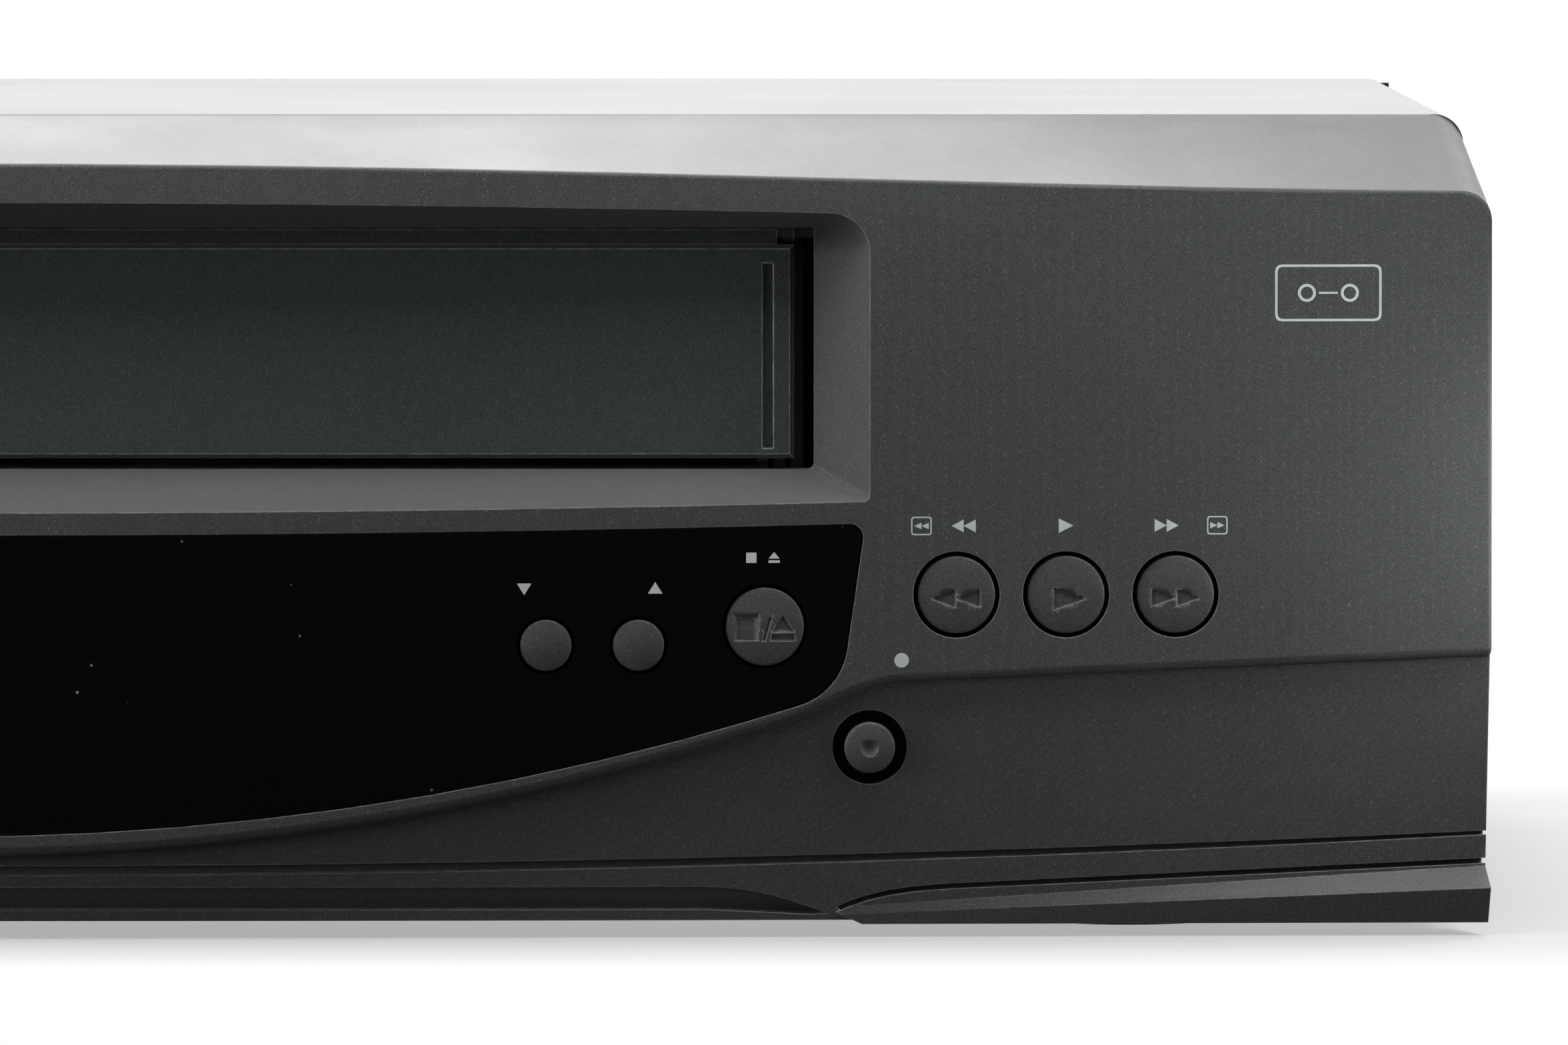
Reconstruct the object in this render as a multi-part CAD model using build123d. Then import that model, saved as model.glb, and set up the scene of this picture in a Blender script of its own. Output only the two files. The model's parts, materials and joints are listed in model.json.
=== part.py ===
from build123d import *
import os
from math import atan2, cos, degrees, hypot, pi, radians, sin, sqrt

# Front-loading home video cassette recorder. Millimetres, Z up, X to the right as seen from
# the front. The model is laid out with Y = 0 at the foremost point of the face and Y growing
# towards the rear; save() centres it on the origin, with Z = 0 under the feet.

# ---- case ----
case_width = 360.0
case_height = 95.5
socket_room = 30.0          # rear of the drum's base to the rear panel
socket_reach = 8.0          # how far the rear sockets stand out of the panel
cover_sheet = 1.0
pan_sheet = 1.2
cover_inset = 3.0           # the cover is narrower than the face, on each side
cover_bend = 3.5            # outside radius of the cover's two long bends
cover_lip = 13.0            # flange folded down over the rear panel
pan_wall = 20.0             # height of the pan's turned-up sides
pan_wall_gap = 6.0          # their front ends behind the bezel
foot_height = 4.0
foot_radius = 11.0
foot_edge = 1.0
foot_inset = (42.0, 40.0)   # foot centre from the side and from the face or rear

# ---- slots for air and screws ----
top_vent = (3.0, 26.0)      # width and length
top_vents = (12, 2)         # columns and rows
top_vent_pitch = (8.0, 36.0)
top_vent_inset = (30.0, 28.0)   # first column from the left end, last row from the rear panel
side_vent = (3.0, 34.0, 58.0)   # width, and height of its two ends
side_vents = 10
side_vent_pitch = 9.0
side_vent_inset = 49.0      # last slot from the rear panel
pan_vent = (3.0, 30.0)      # width and length
pan_vents = 15
pan_vent_pitch = 12.0
pan_vent_inset = (30.0, 40.5)   # outer ends from the end of the face, last slot from the rear panel
rear_vent = (3.0, 50.0, 74.0)
rear_vents = 8
rear_vent_pitch = 7.0
rear_vent_inset = 70.0      # first slot from the left end
screw_head = (3.2, 1.6)     # radius and height
screw_edge = 0.5
screw_cross = (3.4, 0.8, 0.7)   # length, width and depth of the cross recess
side_screw_inset = (60.0, 40.0) # from the face and from the rear panel
side_screw_height = 12.0
rear_screw_inset = 20.0
rear_screw_drop = 8.0

# ---- face ----
bow = 8.0                   # the ends of the face lie this far behind its middle
bezel_depth = 22.0          # foremost point of the face to the edge of the cover
shell = 2.5                 # side and top walls of the bezel
wall = 6.0                  # front wall of the bezel
skirt_gap = 2.0             # table to the foot of the bezel
skirt_height = 4.5          # thick foot of the bezel
band_drop_mid = 5.4         # the sloped band on top falls this far at the middle
band_drop_end = 8.8         # and this far at the ends
bezel_corner = 4.0
crease_mid = 9.6            # heights of the crease where the lower face steps back
crease_in = (98.0, 25.2)
crease_out = (112.0, 29.8)
crease_end = 32.6
crease_round = 1.1
rim_round = 0.5             # round along the edges of the face
step_back = 1.3             # lower face behind the main face, at the crease
undercut = 0.079            # backward lean of the lower face, per mm of height
groove_mid = (7.3, 8.4)     # low and high edge of the groove at the middle
groove_end = (12.0, 12.4)   # and at the ends
groove_depth = 1.3
lens_top = 5.9              # recessed lens along the foot of the face
lens_bottom = 3.3
lens_tip = (102.6, 2.8)
lens_straight = 88.4
lens_lean = 0.65
wing_tip = (103.6, 2.9)     # projecting blades at both ends of the foot
wing_nose = (116.6, 5.6)
wing_top_end = 8.4
wing_ridge = (2.4, 5.8)     # height of the ridge at the tip and at the end
wing_foot = (1.5, 2.0)
wing_reach = 3.2
shadow_gap = 0.6

# ---- cassette slot ----
slot_half = 101.0           # half width of the slot at the flap
slot_below_top = 12.9       # roof of the slot below the top of the case
slot_height = 28.25
lip_depth = 6.3             # roof of the pocket ends here, in front of the flap's hinge
flap_depth = 10.8           # flap behind the foremost point of the face
side_draft = 0.82           # slopes of the pocket's walls, per mm of depth
roof_draft = 0.476
floor_draft = 0.44
pocket_wall = 3.0
pocket_corner = (6.5, 0.8)  # upper corners of the pocket, at its mouth and at the flap
pocket_foot = 0.8           # its lower corners, all the way in
flap_side_gap = 2.3
flap_floor_gap = 1.25
flap_roof_gap = 2.1
flap_sheet = 2.0
hinge_below_roof = 0.4
hinge_behind = 2.6          # hinge axis behind the front of the flap
hinge_radius = 1.5
hinge_pin = 1.0
pin_clearance = 0.2
spring_radius = 1.7
spring_play = 0.15
rib_from_end = 2.4          # thin upright groove near each end of the flap
rib_size = (1.3, 21.6)
rib_depth = 0.6
flap_edge = 0.5             # chamfer round the flap's front

# ---- display window ----
window_above_crease = (2.4, 3.5)    # at the middle and at the lower corners
window_below_slot = (7.35, 6.05)    # at the middle and at the upper corners
window_corner = (104.2, 107.0)      # half width at the lower and upper corners
window_radius = (8.0, 1.6)
window_recess = 2.4
window_gap = 0.3
display_half = 55.0
display_margin = (9.0, 5.0)         # window's edges to the opening for the display

# ---- keys ----
key_pitch = 12.73
transport_x = 130.3
transport_above_stop = 3.65
transport_key = (4.5, 5.03)   # cap and hole radius
record_x = 107.5
record_below_crease = 3.0
record_key = (2.95, 4.33)
stop_x = 95.3
stop_below_middle = 1.05      # below the middle between the crease and the pocket
stop_key = (4.55, 4.95)
channel_x = (69.9, 80.65)
channel_below_middle = 4.3    # below the middle of the window's ends
channel_key = (3.0, 3.4)
key_travel = 1.0
key_gap = 0.3
key_proud = 0.3
key_dome = 0.45             # rise of the cap's middle over its rim
key_round = 0.3             # rounded rim of the cap
guide_end = 11.5            # rear end of the key guides
guide_wall = 1.6
key_flange = 1.0
key_play = 0.2              # stem to the plunger of its switch when pressed home
flange_reach = 0.96         # flange past the edge of the hole
key_stem = 3.0

# ---- front board ----
board_depth = 20.0          # front board behind the foremost point of the face
board_sheet = 1.6
front_board_inset = 22.0    # board's ends from the ends of the face
front_board_low = 10.0
front_board_fixing = 5.0    # centre of a boss from the board's edges
front_boss = 3.0
switch_body = (6.0, 3.5)    # side and depth
plunger = (1.75, 1.0)       # radius and length
display_glass = (108.0, 6.0)    # length and thickness
display_margin_z = 1.5      # glass inside its opening
display_seat = 2.5          # rear of the glass to the board
tube_tip = (1.5, 4.0)       # radius and length of the sealed tip at the tube's end
holder_half = 4.0
holder_inset = 8.0          # centres of the tube's holders from its ends
receiver_x = -84.0
receiver_z = 36.0
receiver_size = (8.0, 7.0, 8.0) # width, height and depth
receiver_lens = 2.5
receiver_hole = (5.0, 4.0)
ribbon_x = (60.0, 84.0)
ribbon_plug = (11.0, 16.0)  # low and high edge
ribbon_sheet = 0.6

# ---- boards in the case ----
board_rise = 3.8            # boards above the pan
board_side_gap = 8.0        # outer edges of the boards from the ends of the face
board_rear_gap = 10.0
main_board_left = -104.0
main_board_front = 30.0
power_board_right = -108.0
power_board_front = 110.0
board_fixing = 5.0          # centre of a post from the board's edges
board_column = 2.5
column_gap = 0.5            # main board round the deck's columns

chip_height = 2.4
square_chip = (20.0, 20.0)
long_chip = (24.0, 12.0)
small_chip = (14.0, 14.0)
chips_beside_deck = {(32.0, 60.0): square_chip, (32.0, 110.0): small_chip, (28.0, 160.0): long_chip}
chips_under_deck = {(20.0, 60.0): long_chip, (-60.0, 60.0): square_chip, (-20.0, 236.0): small_chip}
signal_can = (4.0, 11.0)    # radius and height of the capacitors
signal_cans = (3, 24.0)     # how many, and their pitch
signal_can_place = (12.0, 60.0)     # first one beside the deck, and behind the face
power_can = (6.0, 22.0)
power_cans = (3, 15.0)
power_can_place = (10.0, 20.0)      # first one from the corner of the power board
mains_can = (11.0, 32.0)
mains_can_place = (24.0, 116.0)
transformer_core = (28.0, 28.0, 24.0)
transformer_place = (12.0, 66.0)
core_limb = 5.0
core_gap = 0.5
winding_past_core = 4.0
sink_place = (2.0, 40.0)
sink_size = (14.0, 34.0, 3.0)   # reach of the fins, height and thickness of the base
sink_fins = (5, 4.0, 1.6)       # how many, their pitch and thickness
sink_length = 18.0

# ---- tape deck ----
deck_low = 26.0
deck_sheet = 1.6
deck_flange = 8.2           # deck plate past its side frames
deck_front = 38.0
drum_base_rear = 36.0       # rear edge of the drum's base behind the drum's axis
deck_past_drum = 2.0
deck_fixing = 6.0           # centre of a column from the deck's edges
deck_column = 3.5
deck_corner = 6.0
deck_hole = (34.0, 16.0)    # two long holes in front of the reels
deck_hole_place = (30.0, 45.0)
bearing_hole = 5.0
clutch_hole = 3.0
reel_boss = (5.0, 1.0)      # radius and height of the bosses under the reel tables
reel_pin = 1.5
cassette = (188.0, 104.0, 25.0)
basket_front = 22.5
basket_sheet = 1.2
basket_play = 0.4
basket_below_slot = 0.15
carriage_in = 40.0          # the cassette travels this far in before it goes down
reel_height = 3.6           # reel tables' seat for the cassette above the deck
reel_clear = 0.8            # loaded basket above the reel tables' seat
carriage_sheet = 1.4
frame_sheet = 1.4
carriage_front = 28.0       # side plates of the lift behind the front of the basket
carriage_rear = 4.0         # and in front of its rear
frame_past = 6.0            # side frame past the carriage's far end
frame_rim = (12.0, 8.0)     # upright and lower rims round the window in a side frame
frame_foot = 4.0
pin_play = 0.3
carriage_pin_inset = 8.0
basket_pin_inset = (20.0, 24.0)
basket_pin_drop = 10.0      # basket's pins below its roof
carriage_bar = (40.0, 52.0) # front and rear of the bar, from the front of the side plates
rack_depth = 0.8
basket_wall_front = 19.0
basket_ledge = 12.0
basket_strips = (30.0, 18.0, 16.0)  # floor strip, front and rear roof strips
basket_bar_x = 40.0
basket_bar_half = 5.0
side_gap = 0.7
guide_pin = 2.0
rail_height = 70.0
reel_x = 46.0
hub_from_front = 50.0
reel_radius = 20.0
reel_seat = 12.0
reel_teeth = 40
spindle_radius = 6.0
spindle_height = 12.0
spindle_fin = (1.5, 0.8, 9.0)   # reach, half width and height
drum_behind_hub = 101.5
drum_radius = 31.0
drum_lean = 5.0
drum_split = 46.5
drum_top = 62.0
drum_wall = 4.0
drum_shaft = 3.0
drum_base_front = 20.0
drum_base = (5.0, 1.0, 4.0) # height, reach past the drum at each side, and corner radius
head_notches = 4
head_notch = (3.0, 4.0)
rotor = (22.0, 18.0, 8.0)   # outer and inner radius and height of the motor's ring
capstan_place = (62.0, 63.5)    # right of and behind the reels
capstan_radius = 1.6
capstan_pulley = 6.5
clutch_pulley_radius = 12.0
flywheel = (26.0, 8.0)
flywheel_gap = 2.5          # below the deck
flywheel_rim = 4.0
flywheel_web = 3.0
flywheel_hub = 8.0
pulley_flange = 1.5
pulley_height = 4.0
bearing = (4.5, 8.0, 2.0)   # radius of the sleeve, radius and thickness of its flange
bearing_play = 0.15
belt_size = (1.0, 1.2)      # thickness and width
clutch_shaft = 2.0
clutch_teeth = 20
idler_teeth = 24
arm_pin = 1.5               # pins of the pinch and idler arms
tension_pin = 1.2
pinch_pivot = (26.0, 8.0)       # from the capstan
pinch_radius = 8.0
pinch_height = 16.0
pinch_swing = 35.0
pinch_arm_height = 6.0
guide_pivot = (100.0, 62.5)
guide_rest = (38.0, 45.5)
guide_swing = 43.0
post_radius = 3.0
post_height = 24.0
clutch_radius = 10.0
idler_radius = 12.0
gear_tooth = 1.2
gear_face = 3.0
head_height = 24.0
head_round = 1.5
erase_place = (-62.0, 24.0)     # X, and in front of the drum's axis
erase_size = (12.0, 10.0)
erase_face = (2.0, 1.0, 16.0)   # reach and radius of the rounded pole, and its height
audio_place = (-7.0, 20.0)      # from the capstan
audio_size = (10.0, 8.0)
audio_plate = (16.0, 12.0, 1.5)
audio_legs = (6.0, 4.0, 1.5, 4.0)   # places from the middle, radius and height
cam_place = (-84.0, 96.0)
cam_radius = 16.0
cam_teeth = 36
cam_axle = 2.0
cam_track = (9.0, 7.0, 2.0)     # outer and inner radius, and how far it is off the axle
worm_radius = 3.0
worm_length = 16.0
worm_above_deck = 2.5
worm_turns = (6, 2.6, 1.2)      # how many, their pitch and thickness
motor_shaft = 1.0
motor_from_cam = 14.0
motor_bracket = (1.2, 9.0, 8.0) # sheet, half width, and height over the motor's axis
motor_radius = 10.0
motor_length = 24.0
pinion_radius = 4.5
pinion_teeth = 12
pinion_face = 2.3
pinion_axle = 1.5
tension_pivot = (-70.0, 58.0)
tension_rest = (-54.0, 47.0)
running_gap = 0.3

# ---- rear sockets ----
scart_places = ((-30.0, 27.0), (32.0, 27.0))
scart_size = (50.0, 17.0)
scart_deep = 24.0
scart_proud = 1.0               # shroud outside the panel
scart_gap = 1.0                 # round the socket in the panel
scart_wall = 1.5
scart_well = 14.0
scart_key = 5.0                 # radius of the filled corner
scart_core = (3.5, 6.0, 3.2)    # contact block from the ends of the shroud, and half its height
scart_core_front = 5.0          # contact block behind the panel's outside
scart_ways = 10
scart_pitch = 3.8
scart_slot = (1.4, 4.0, 6.0)    # width, height and depth of a contact slot
phono_places = ((78.0, 20.0), (78.0, 36.0))
phono_barrel = 4.15
phono_collar = 5.2
phono_bore = 1.7
phono_well = 6.0                # bore past the panel's outside
phono_block = (7.0, 14.0, 9.0)  # half width, depth and rise over the upper socket
aerial_inset = (52.0, 28.0)     # from the right end of the face
aerial_height = 30.0
aerial_collar = 6.0
aerial_plug = 4.75              # radius of the coaxial plug, and of the bore that takes it
aerial_wall = 0.8
aerial_pin = 1.2
tuner_side = 14.0               # can past the aerial sockets, at each end
tuner_size = (70.0, 14.0)       # depth, and rise over the sockets
tuner_slot = (3.0, 38.0)
tuner_slots = 5
tuner_slot_pitch = 8.0
tuner_slot_inset = (9.0, 20.0)  # from the left side and from the rear panel
inlet_inset = 34.0              # from the left end of the face
inlet_height = 30.0
inlet_size = (23.0, 15.0)
inlet_gap = 0.5
inlet_deep = 20.0
inlet_proud = 1.5
inlet_well = (4.4, 14.0)        # radius and depth of each half of the well
inlet_pin = (1.2, 4.3)          # radius, and distance from the middle

# ---- sizes that follow ----
half_width = case_width / 2
cover_half = half_width - cover_inset
bow_radius = (half_width**2 + bow**2) / (2 * bow)
crease_foot = crease_in[1]
slot_roof = case_height - slot_below_top
slot_floor = slot_roof - slot_height
pocket_low = slot_floor - floor_draft * flap_depth
flap_half = slot_half - flap_side_gap
flap_low = slot_floor + flap_floor_gap
flap_high = slot_roof - flap_roof_gap
hinge_height = slot_roof - hinge_below_roof
window_mid = crease_mid + window_above_crease[0]
window_low = (window_corner[0], crease_foot + window_above_crease[1])
window_top_mid = slot_floor - window_below_slot[0]
window_high = (window_corner[1], slot_floor - window_below_slot[1])
display_height = (window_mid + display_margin[0], window_top_mid - display_margin[1])
record_place = (record_x, crease_foot - record_below_crease)
stop_place = (stop_x, (crease_foot + pocket_low) / 2 - stop_below_middle)
transport_z = stop_place[1] + transport_above_stop
channel_z = (window_low[1] + window_high[1]) / 2 - channel_below_middle
front_board = (half_width - front_board_inset, front_board_low, window_top_mid)
aerial_places = [(half_width - inset, aerial_height) for inset in aerial_inset]
inlet_place = (inlet_inset - half_width, inlet_height)
pan_top = foot_height + pan_sheet
board_low = pan_top + board_rise
board_top = board_low + board_sheet
deck_top = deck_low + deck_sheet
hinge_y = flap_depth + hinge_behind
basket_floor = slot_floor - basket_below_slot
basket_half = cassette[0] / 2 + basket_play
basket_top = basket_floor + cassette[2] + 2 * basket_play
basket_rear = basket_front + cassette[1] + 2 * basket_play
carriage_half = basket_half + basket_sheet + side_gap
frame_half = carriage_half + carriage_sheet + side_gap
reel_y = basket_front + carriage_in + hub_from_front
reel_top = deck_top + reel_height
carriage_down = basket_floor - basket_sheet - reel_clear - reel_top
drum_y = reel_y + drum_behind_hub
body_depth = drum_y + drum_base_rear + socket_room
rear_y = body_depth
deck_half = frame_half + frame_sheet + deck_flange
deck_rear = drum_y + drum_base_rear + deck_past_drum
board_side = half_width - board_side_gap
board_rear = rear_y - board_rear_gap
main_board = (main_board_left, board_side, main_board_front, board_rear)
power_board = (-board_side, power_board_right, power_board_front, board_rear)
roller_low = deck_top + pinch_arm_height + 2 + running_gap
capstan_x = capstan_place[0]
capstan_y = reel_y + capstan_place[1]


# ---- helpers ----
def block(x, y, z):
    """Rectangular solid between (low, high) pairs."""
    size = [high - low for low, high in (x, y, z)]
    centre = [(high + low) / 2 for low, high in (x, y, z)]
    return Pos(*centre) * Box(*size)


def post(x, y, z, radius):
    """Upright cylinder, z = (low, high)."""
    return Pos(x, y, (z[0] + z[1]) / 2) * Cylinder(radius, z[1] - z[0])


def rod_x(x, y, z, radius):
    """Cylinder along X, x = (low, high)."""
    return Pos((x[0] + x[1]) / 2, y, z) * Rot(0, 90, 0) * Cylinder(radius, x[1] - x[0])


def rod_y(x, y, z, radius):
    """Cylinder along Y, y = (low, high)."""
    return Pos(x, (y[0] + y[1]) / 2, z) * Rot(90, 0, 0) * Cylinder(radius, y[1] - y[0])


def both(solid):
    """The solid and its mirror image on the other side of the case."""
    return solid + solid.mirror(Plane.YZ)


def front_prism(outline, y):
    """Outline drawn in X and Z, as a solid from y[0] back to y[1]."""
    plane = Plane(origin=(0, y[1], 0), x_dir=(1, 0, 0), z_dir=(0, -1, 0))
    return extrude(plane * outline, amount=y[1] - y[0])


def flat_prism(outline, z):
    """Outline drawn in X and Y, as a solid from z[0] up to z[1]."""
    return extrude(Pos(0, 0, z[0]) * outline, amount=z[1] - z[0])


def save(name, *solids):
    """Write one piece, centred on the case."""
    shift = Pos(0, -(body_depth + socket_reach) / 2, 0)
    bodies = [body for solid in solids for body in solid.solids()]
    placed = [shift * body for body in bodies]
    shape = placed[0] if len(placed) == 1 else Compound(children=placed)
    export_step(shape, f"parts/{name}.step")


# ---- face ----
def face_y(x):
    """Depth of the bowed face at x."""
    return bow_radius - sqrt(bow_radius**2 - x**2)


def behind_face(setback, lean=0.0, at=0.0):
    """Everything behind the bowed face set back by setback at height at, leaning back below it."""
    low, high = -10.0, case_height + 10.0
    radius_low = bow_radius - setback - lean * (at - low)
    radius_high = bow_radius - setback - lean * (at - high)
    place = Pos(0, bow_radius, (low + high) / 2)
    if lean:
        return place * Cone(radius_low, radius_high, high - low)
    return place * Cylinder(radius_low, high - low)


def lower_face():
    """Everything behind the lower face and the foot of the bezel."""
    return behind_face(step_back, undercut, crease_end)


def lower_face_y(x, z):
    return face_y(x) + step_back + undercut * (crease_end - z)


def recess(outline, floor):
    """What is cut away inside outline, down to a bowed floor."""
    return front_prism(outline, (-5, bow + 20)) - floor


def bezel_section(y, half, foot, top_mid, top_end, corner):
    """Upright section of the bezel: flat foot, drafted sides and an arched top."""
    sides = [Line((-half, top_end), (-half, foot)), Line((-half, foot), (half, foot)),
             Line((half, foot), (half, top_end))]
    if top_mid > top_end:
        top = ThreePointArc((half, top_end), (0, top_mid), (-half, top_end))
    else:
        top = Line((half, top_end), (-half, top_end))
    outline = make_face(sides + [top])
    outline = fillet(outline.vertices().sort_by(Axis.Y)[-2:], corner)
    plane = Plane(origin=(0, y, 0), x_dir=(1, 0, 0), z_dir=(0, -1, 0))
    return plane * outline


def bezel_form(inset, foot):
    """The bezel's outer form, or its hollow when inset, before the bow is cut."""
    spread = cover_inset * bezel_depth / (bezel_depth - bow)
    end_drop = band_drop_end * bezel_depth / (bezel_depth - bow)
    rear = bezel_section(bezel_depth, cover_half - inset, foot, case_height - inset,
                         case_height - inset, bezel_corner - inset / 2)
    front = bezel_section(0, cover_half + spread - inset, foot, case_height - band_drop_mid - inset,
                          case_height - end_drop - inset, bezel_corner - inset / 2)
    return loft([rear, front], ruled=True)


def under_crease():
    """Front view of the set-back lower part of the face."""
    sag = crease_in[1] - crease_mid
    arc_radius = (crease_in[0]**2 + sag**2) / (2 * sag)
    leaving = (arc_radius - sag, crease_in[0])
    rise = (crease_end - crease_out[1]) / (half_width - crease_out[0])
    past = half_width + 5
    end = (past, crease_out[1] + rise * (past - crease_out[0]))
    middle = ThreePointArc((-crease_in[0], crease_in[1]), (0, crease_mid), crease_in)
    bend = Spline(crease_in, crease_out, tangents=[leaving, (1, rise)])
    side = [bend, Line(crease_out, end), Line(end, (past, -5))]
    other = [edge.mirror(Plane.YZ) for edge in side]
    return make_face([middle, Line((past, -5), (-past, -5))] + side + other)


def groove_outline():
    """Front view of the groove between the lower face and the foot."""
    past = half_width + 5
    low = ThreePointArc((-past, groove_end[0]), (0, groove_mid[0]), (past, groove_end[0]))
    high = ThreePointArc((-past, groove_end[1]), (0, groove_mid[1]), (past, groove_end[1]))
    ends = [Line((x, groove_end[0]), (x, groove_end[1])) for x in (-past, past)]
    return make_face([low, high] + ends)


def lens_outline():
    """Front view of the recessed lens along the foot."""
    start, tip = (lens_straight, lens_top), lens_tip
    curve = Spline(start, tip, tangents=[(1, 0), (1, -0.35)])
    edge = Line(tip, (lens_tip[0] - 2, lens_bottom - 0.6))
    rise = Line((lens_tip[0] - 2, lens_bottom - 0.6), (lens_straight, lens_bottom))
    side = [curve, edge, rise]
    other = [piece.mirror(Plane.YZ) for piece in side]
    middle = [Line((-lens_straight, lens_top), start),
              Line((-lens_straight, lens_bottom), (lens_straight, lens_bottom))]
    return make_face(middle + side + other)


def wing_outline(raise_by=0.0):
    """Front view of the right-hand blade, or of the same blade lifted by raise_by."""
    past = half_width + 5
    slope = (wing_top_end - wing_nose[1]) / (half_width - wing_nose[0])
    tip = (wing_tip[0], wing_tip[1] + raise_by)
    nose = (wing_nose[0], wing_nose[1] + raise_by)
    end = (past, wing_nose[1] + slope * (past - wing_nose[0]) + raise_by)
    top = Spline(tip, nose, tangents=[(1, 0.5), (1, slope)])
    under = (wing_tip[0] + 3, wing_foot[0])
    return make_face([top, Line(nose, end), Line(end, (past, wing_foot[0])),
                      Line((past, wing_foot[0]), under), Line(under, tip)])


def wing():
    """Projecting blade, deepest at the end of the case and fading out at its tip."""
    sections = []
    past = half_width + 5
    for x, share in ((wing_tip[0] - 2, 0.05), (past, 1.0)):
        ridge_z = wing_ridge[0] + (wing_ridge[1] - wing_ridge[0]) * share
        top_z = wing_nose[1] - 0.5 + (wing_top_end - wing_nose[1] + 0.5) * share + 0.4
        lip_y = lower_face_y(x, ridge_z)
        ridge = (lip_y - wing_reach * share, ridge_z)
        profile = Polyline(ridge, (lip_y + 0.3, top_z), (lip_y + 5, top_z), (lip_y + 5, 0),
                           (lip_y - wing_reach * share * 0.4, 0), close=True)
        plane = Plane(origin=(x, 0, 0), x_dir=(0, 1, 0), z_dir=(1, 0, 0))
        sections.append(plane * make_face(profile))
    return front_prism(wing_outline(), (-5, 20)) & loft(sections, ruled=True)


def wing_shadow():
    """Narrow gap that sets the blade off from the foot above it."""
    gap = wing_outline(shadow_gap) - wing_outline()
    return recess(gap, behind_face(step_back + undercut * crease_end + 1.2))


def window_outline(inset=0.0):
    """Front view of the display window."""
    corner = window_low[0], window_low[1]
    low = ThreePointArc((-corner[0], corner[1]), (0, window_mid), corner)
    high = ThreePointArc((-window_high[0], window_high[1]), (0, window_top_mid), window_high)
    ends = [Line((side * window_low[0], window_low[1]), (side * window_high[0], window_high[1]))
            for side in (-1, 1)]
    outline = make_face([low, high] + ends)
    corners = outline.vertices().sort_by(Axis.Y)
    outline = fillet(corners[:2], window_radius[0])
    corners = outline.vertices().sort_by(Axis.Y)
    outline = fillet(corners[-2:], window_radius[1])
    return offset(outline, amount=-inset) if inset else outline


def pocket():
    """Drafted pocket round the cassette slot; its upper corners open out towards the face."""
    sections = []
    for y, corner in zip((-1.0, flap_depth), pocket_corner):
        half = slot_half + side_draft * (flap_depth - y)
        low = slot_floor - floor_draft * (flap_depth - y)
        high = slot_roof + roof_draft * (lip_depth - y)
        outline = Rectangle(2 * half, high - low)
        outline = fillet(outline.vertices().sort_by(Axis.Y)[-2:], corner)
        outline = fillet(outline.vertices().sort_by(Axis.Y)[:2], pocket_foot)
        plane = Plane(origin=(0, y, (low + high) / 2), x_dir=(1, 0, 0), z_dir=(0, -1, 0))
        sections.append(plane * outline)
    return loft(sections, ruled=True)


def slot_cut():
    """Pocket, the space round the flap's hinge and the slot through the bezel."""
    roof = slot_roof + 2.0
    hinge_space = block((-slot_half, slot_half), (lip_depth, bezel_depth), (slot_floor + 5, roof))
    through = block((-slot_half, slot_half), (flap_depth - 0.01, bezel_depth), (slot_floor, roof))
    return pocket() + hinge_space + through


def slot_box():
    """Walls of the pocket behind the face, before the pocket is cut."""
    half = slot_half + side_draft * flap_depth + pocket_wall
    return block((-half, half), (1.5, hinge_y + 3),
                 (slot_floor - floor_draft * flap_depth - pocket_wall, slot_roof + 5))


def keys():
    """Place and (cap, hole) radii of every key."""
    places = {
        "rewind_key": (transport_x - key_pitch, transport_z, transport_key),
        "play_key": (transport_x, transport_z, transport_key),
        "forward_key": (transport_x + key_pitch, transport_z, transport_key),
        "record_key": (*record_place, record_key),
        "stop_eject_key": (*stop_place, stop_key),
        "channel_down_key": (channel_x[0], channel_z, channel_key),
        "channel_up_key": (channel_x[1], channel_z, channel_key),
        "standby_key": (-transport_x, transport_z, transport_key),
    }
    return places


def on_face(edge):
    """True for an edge that lies on the bowed main face."""
    middle = edge @ 0.5
    return abs(middle.Y - face_y(middle.X)) < 0.02


def is_crease(edge):
    """Edges of the main face along the crease, all the way across."""
    return on_face(edge) and edge.length > 5 and crease_mid - 1 < (edge @ 0.5).Z < crease_end + 1


def faced_form():
    """Outer form of the bezel with its lower face stepped back and the face's edges rounded."""
    form = bezel_form(0, skirt_gap) & behind_face(0)
    form -= recess(under_crease(), lower_face())
    form = fillet([edge for edge in form.edges() if is_crease(edge)], crease_round)
    rim = [edge for edge in form.edges() if on_face(edge) and (edge @ 0.5).Z > crease_end + 1]
    return fillet(rim, rim_round)


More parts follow.
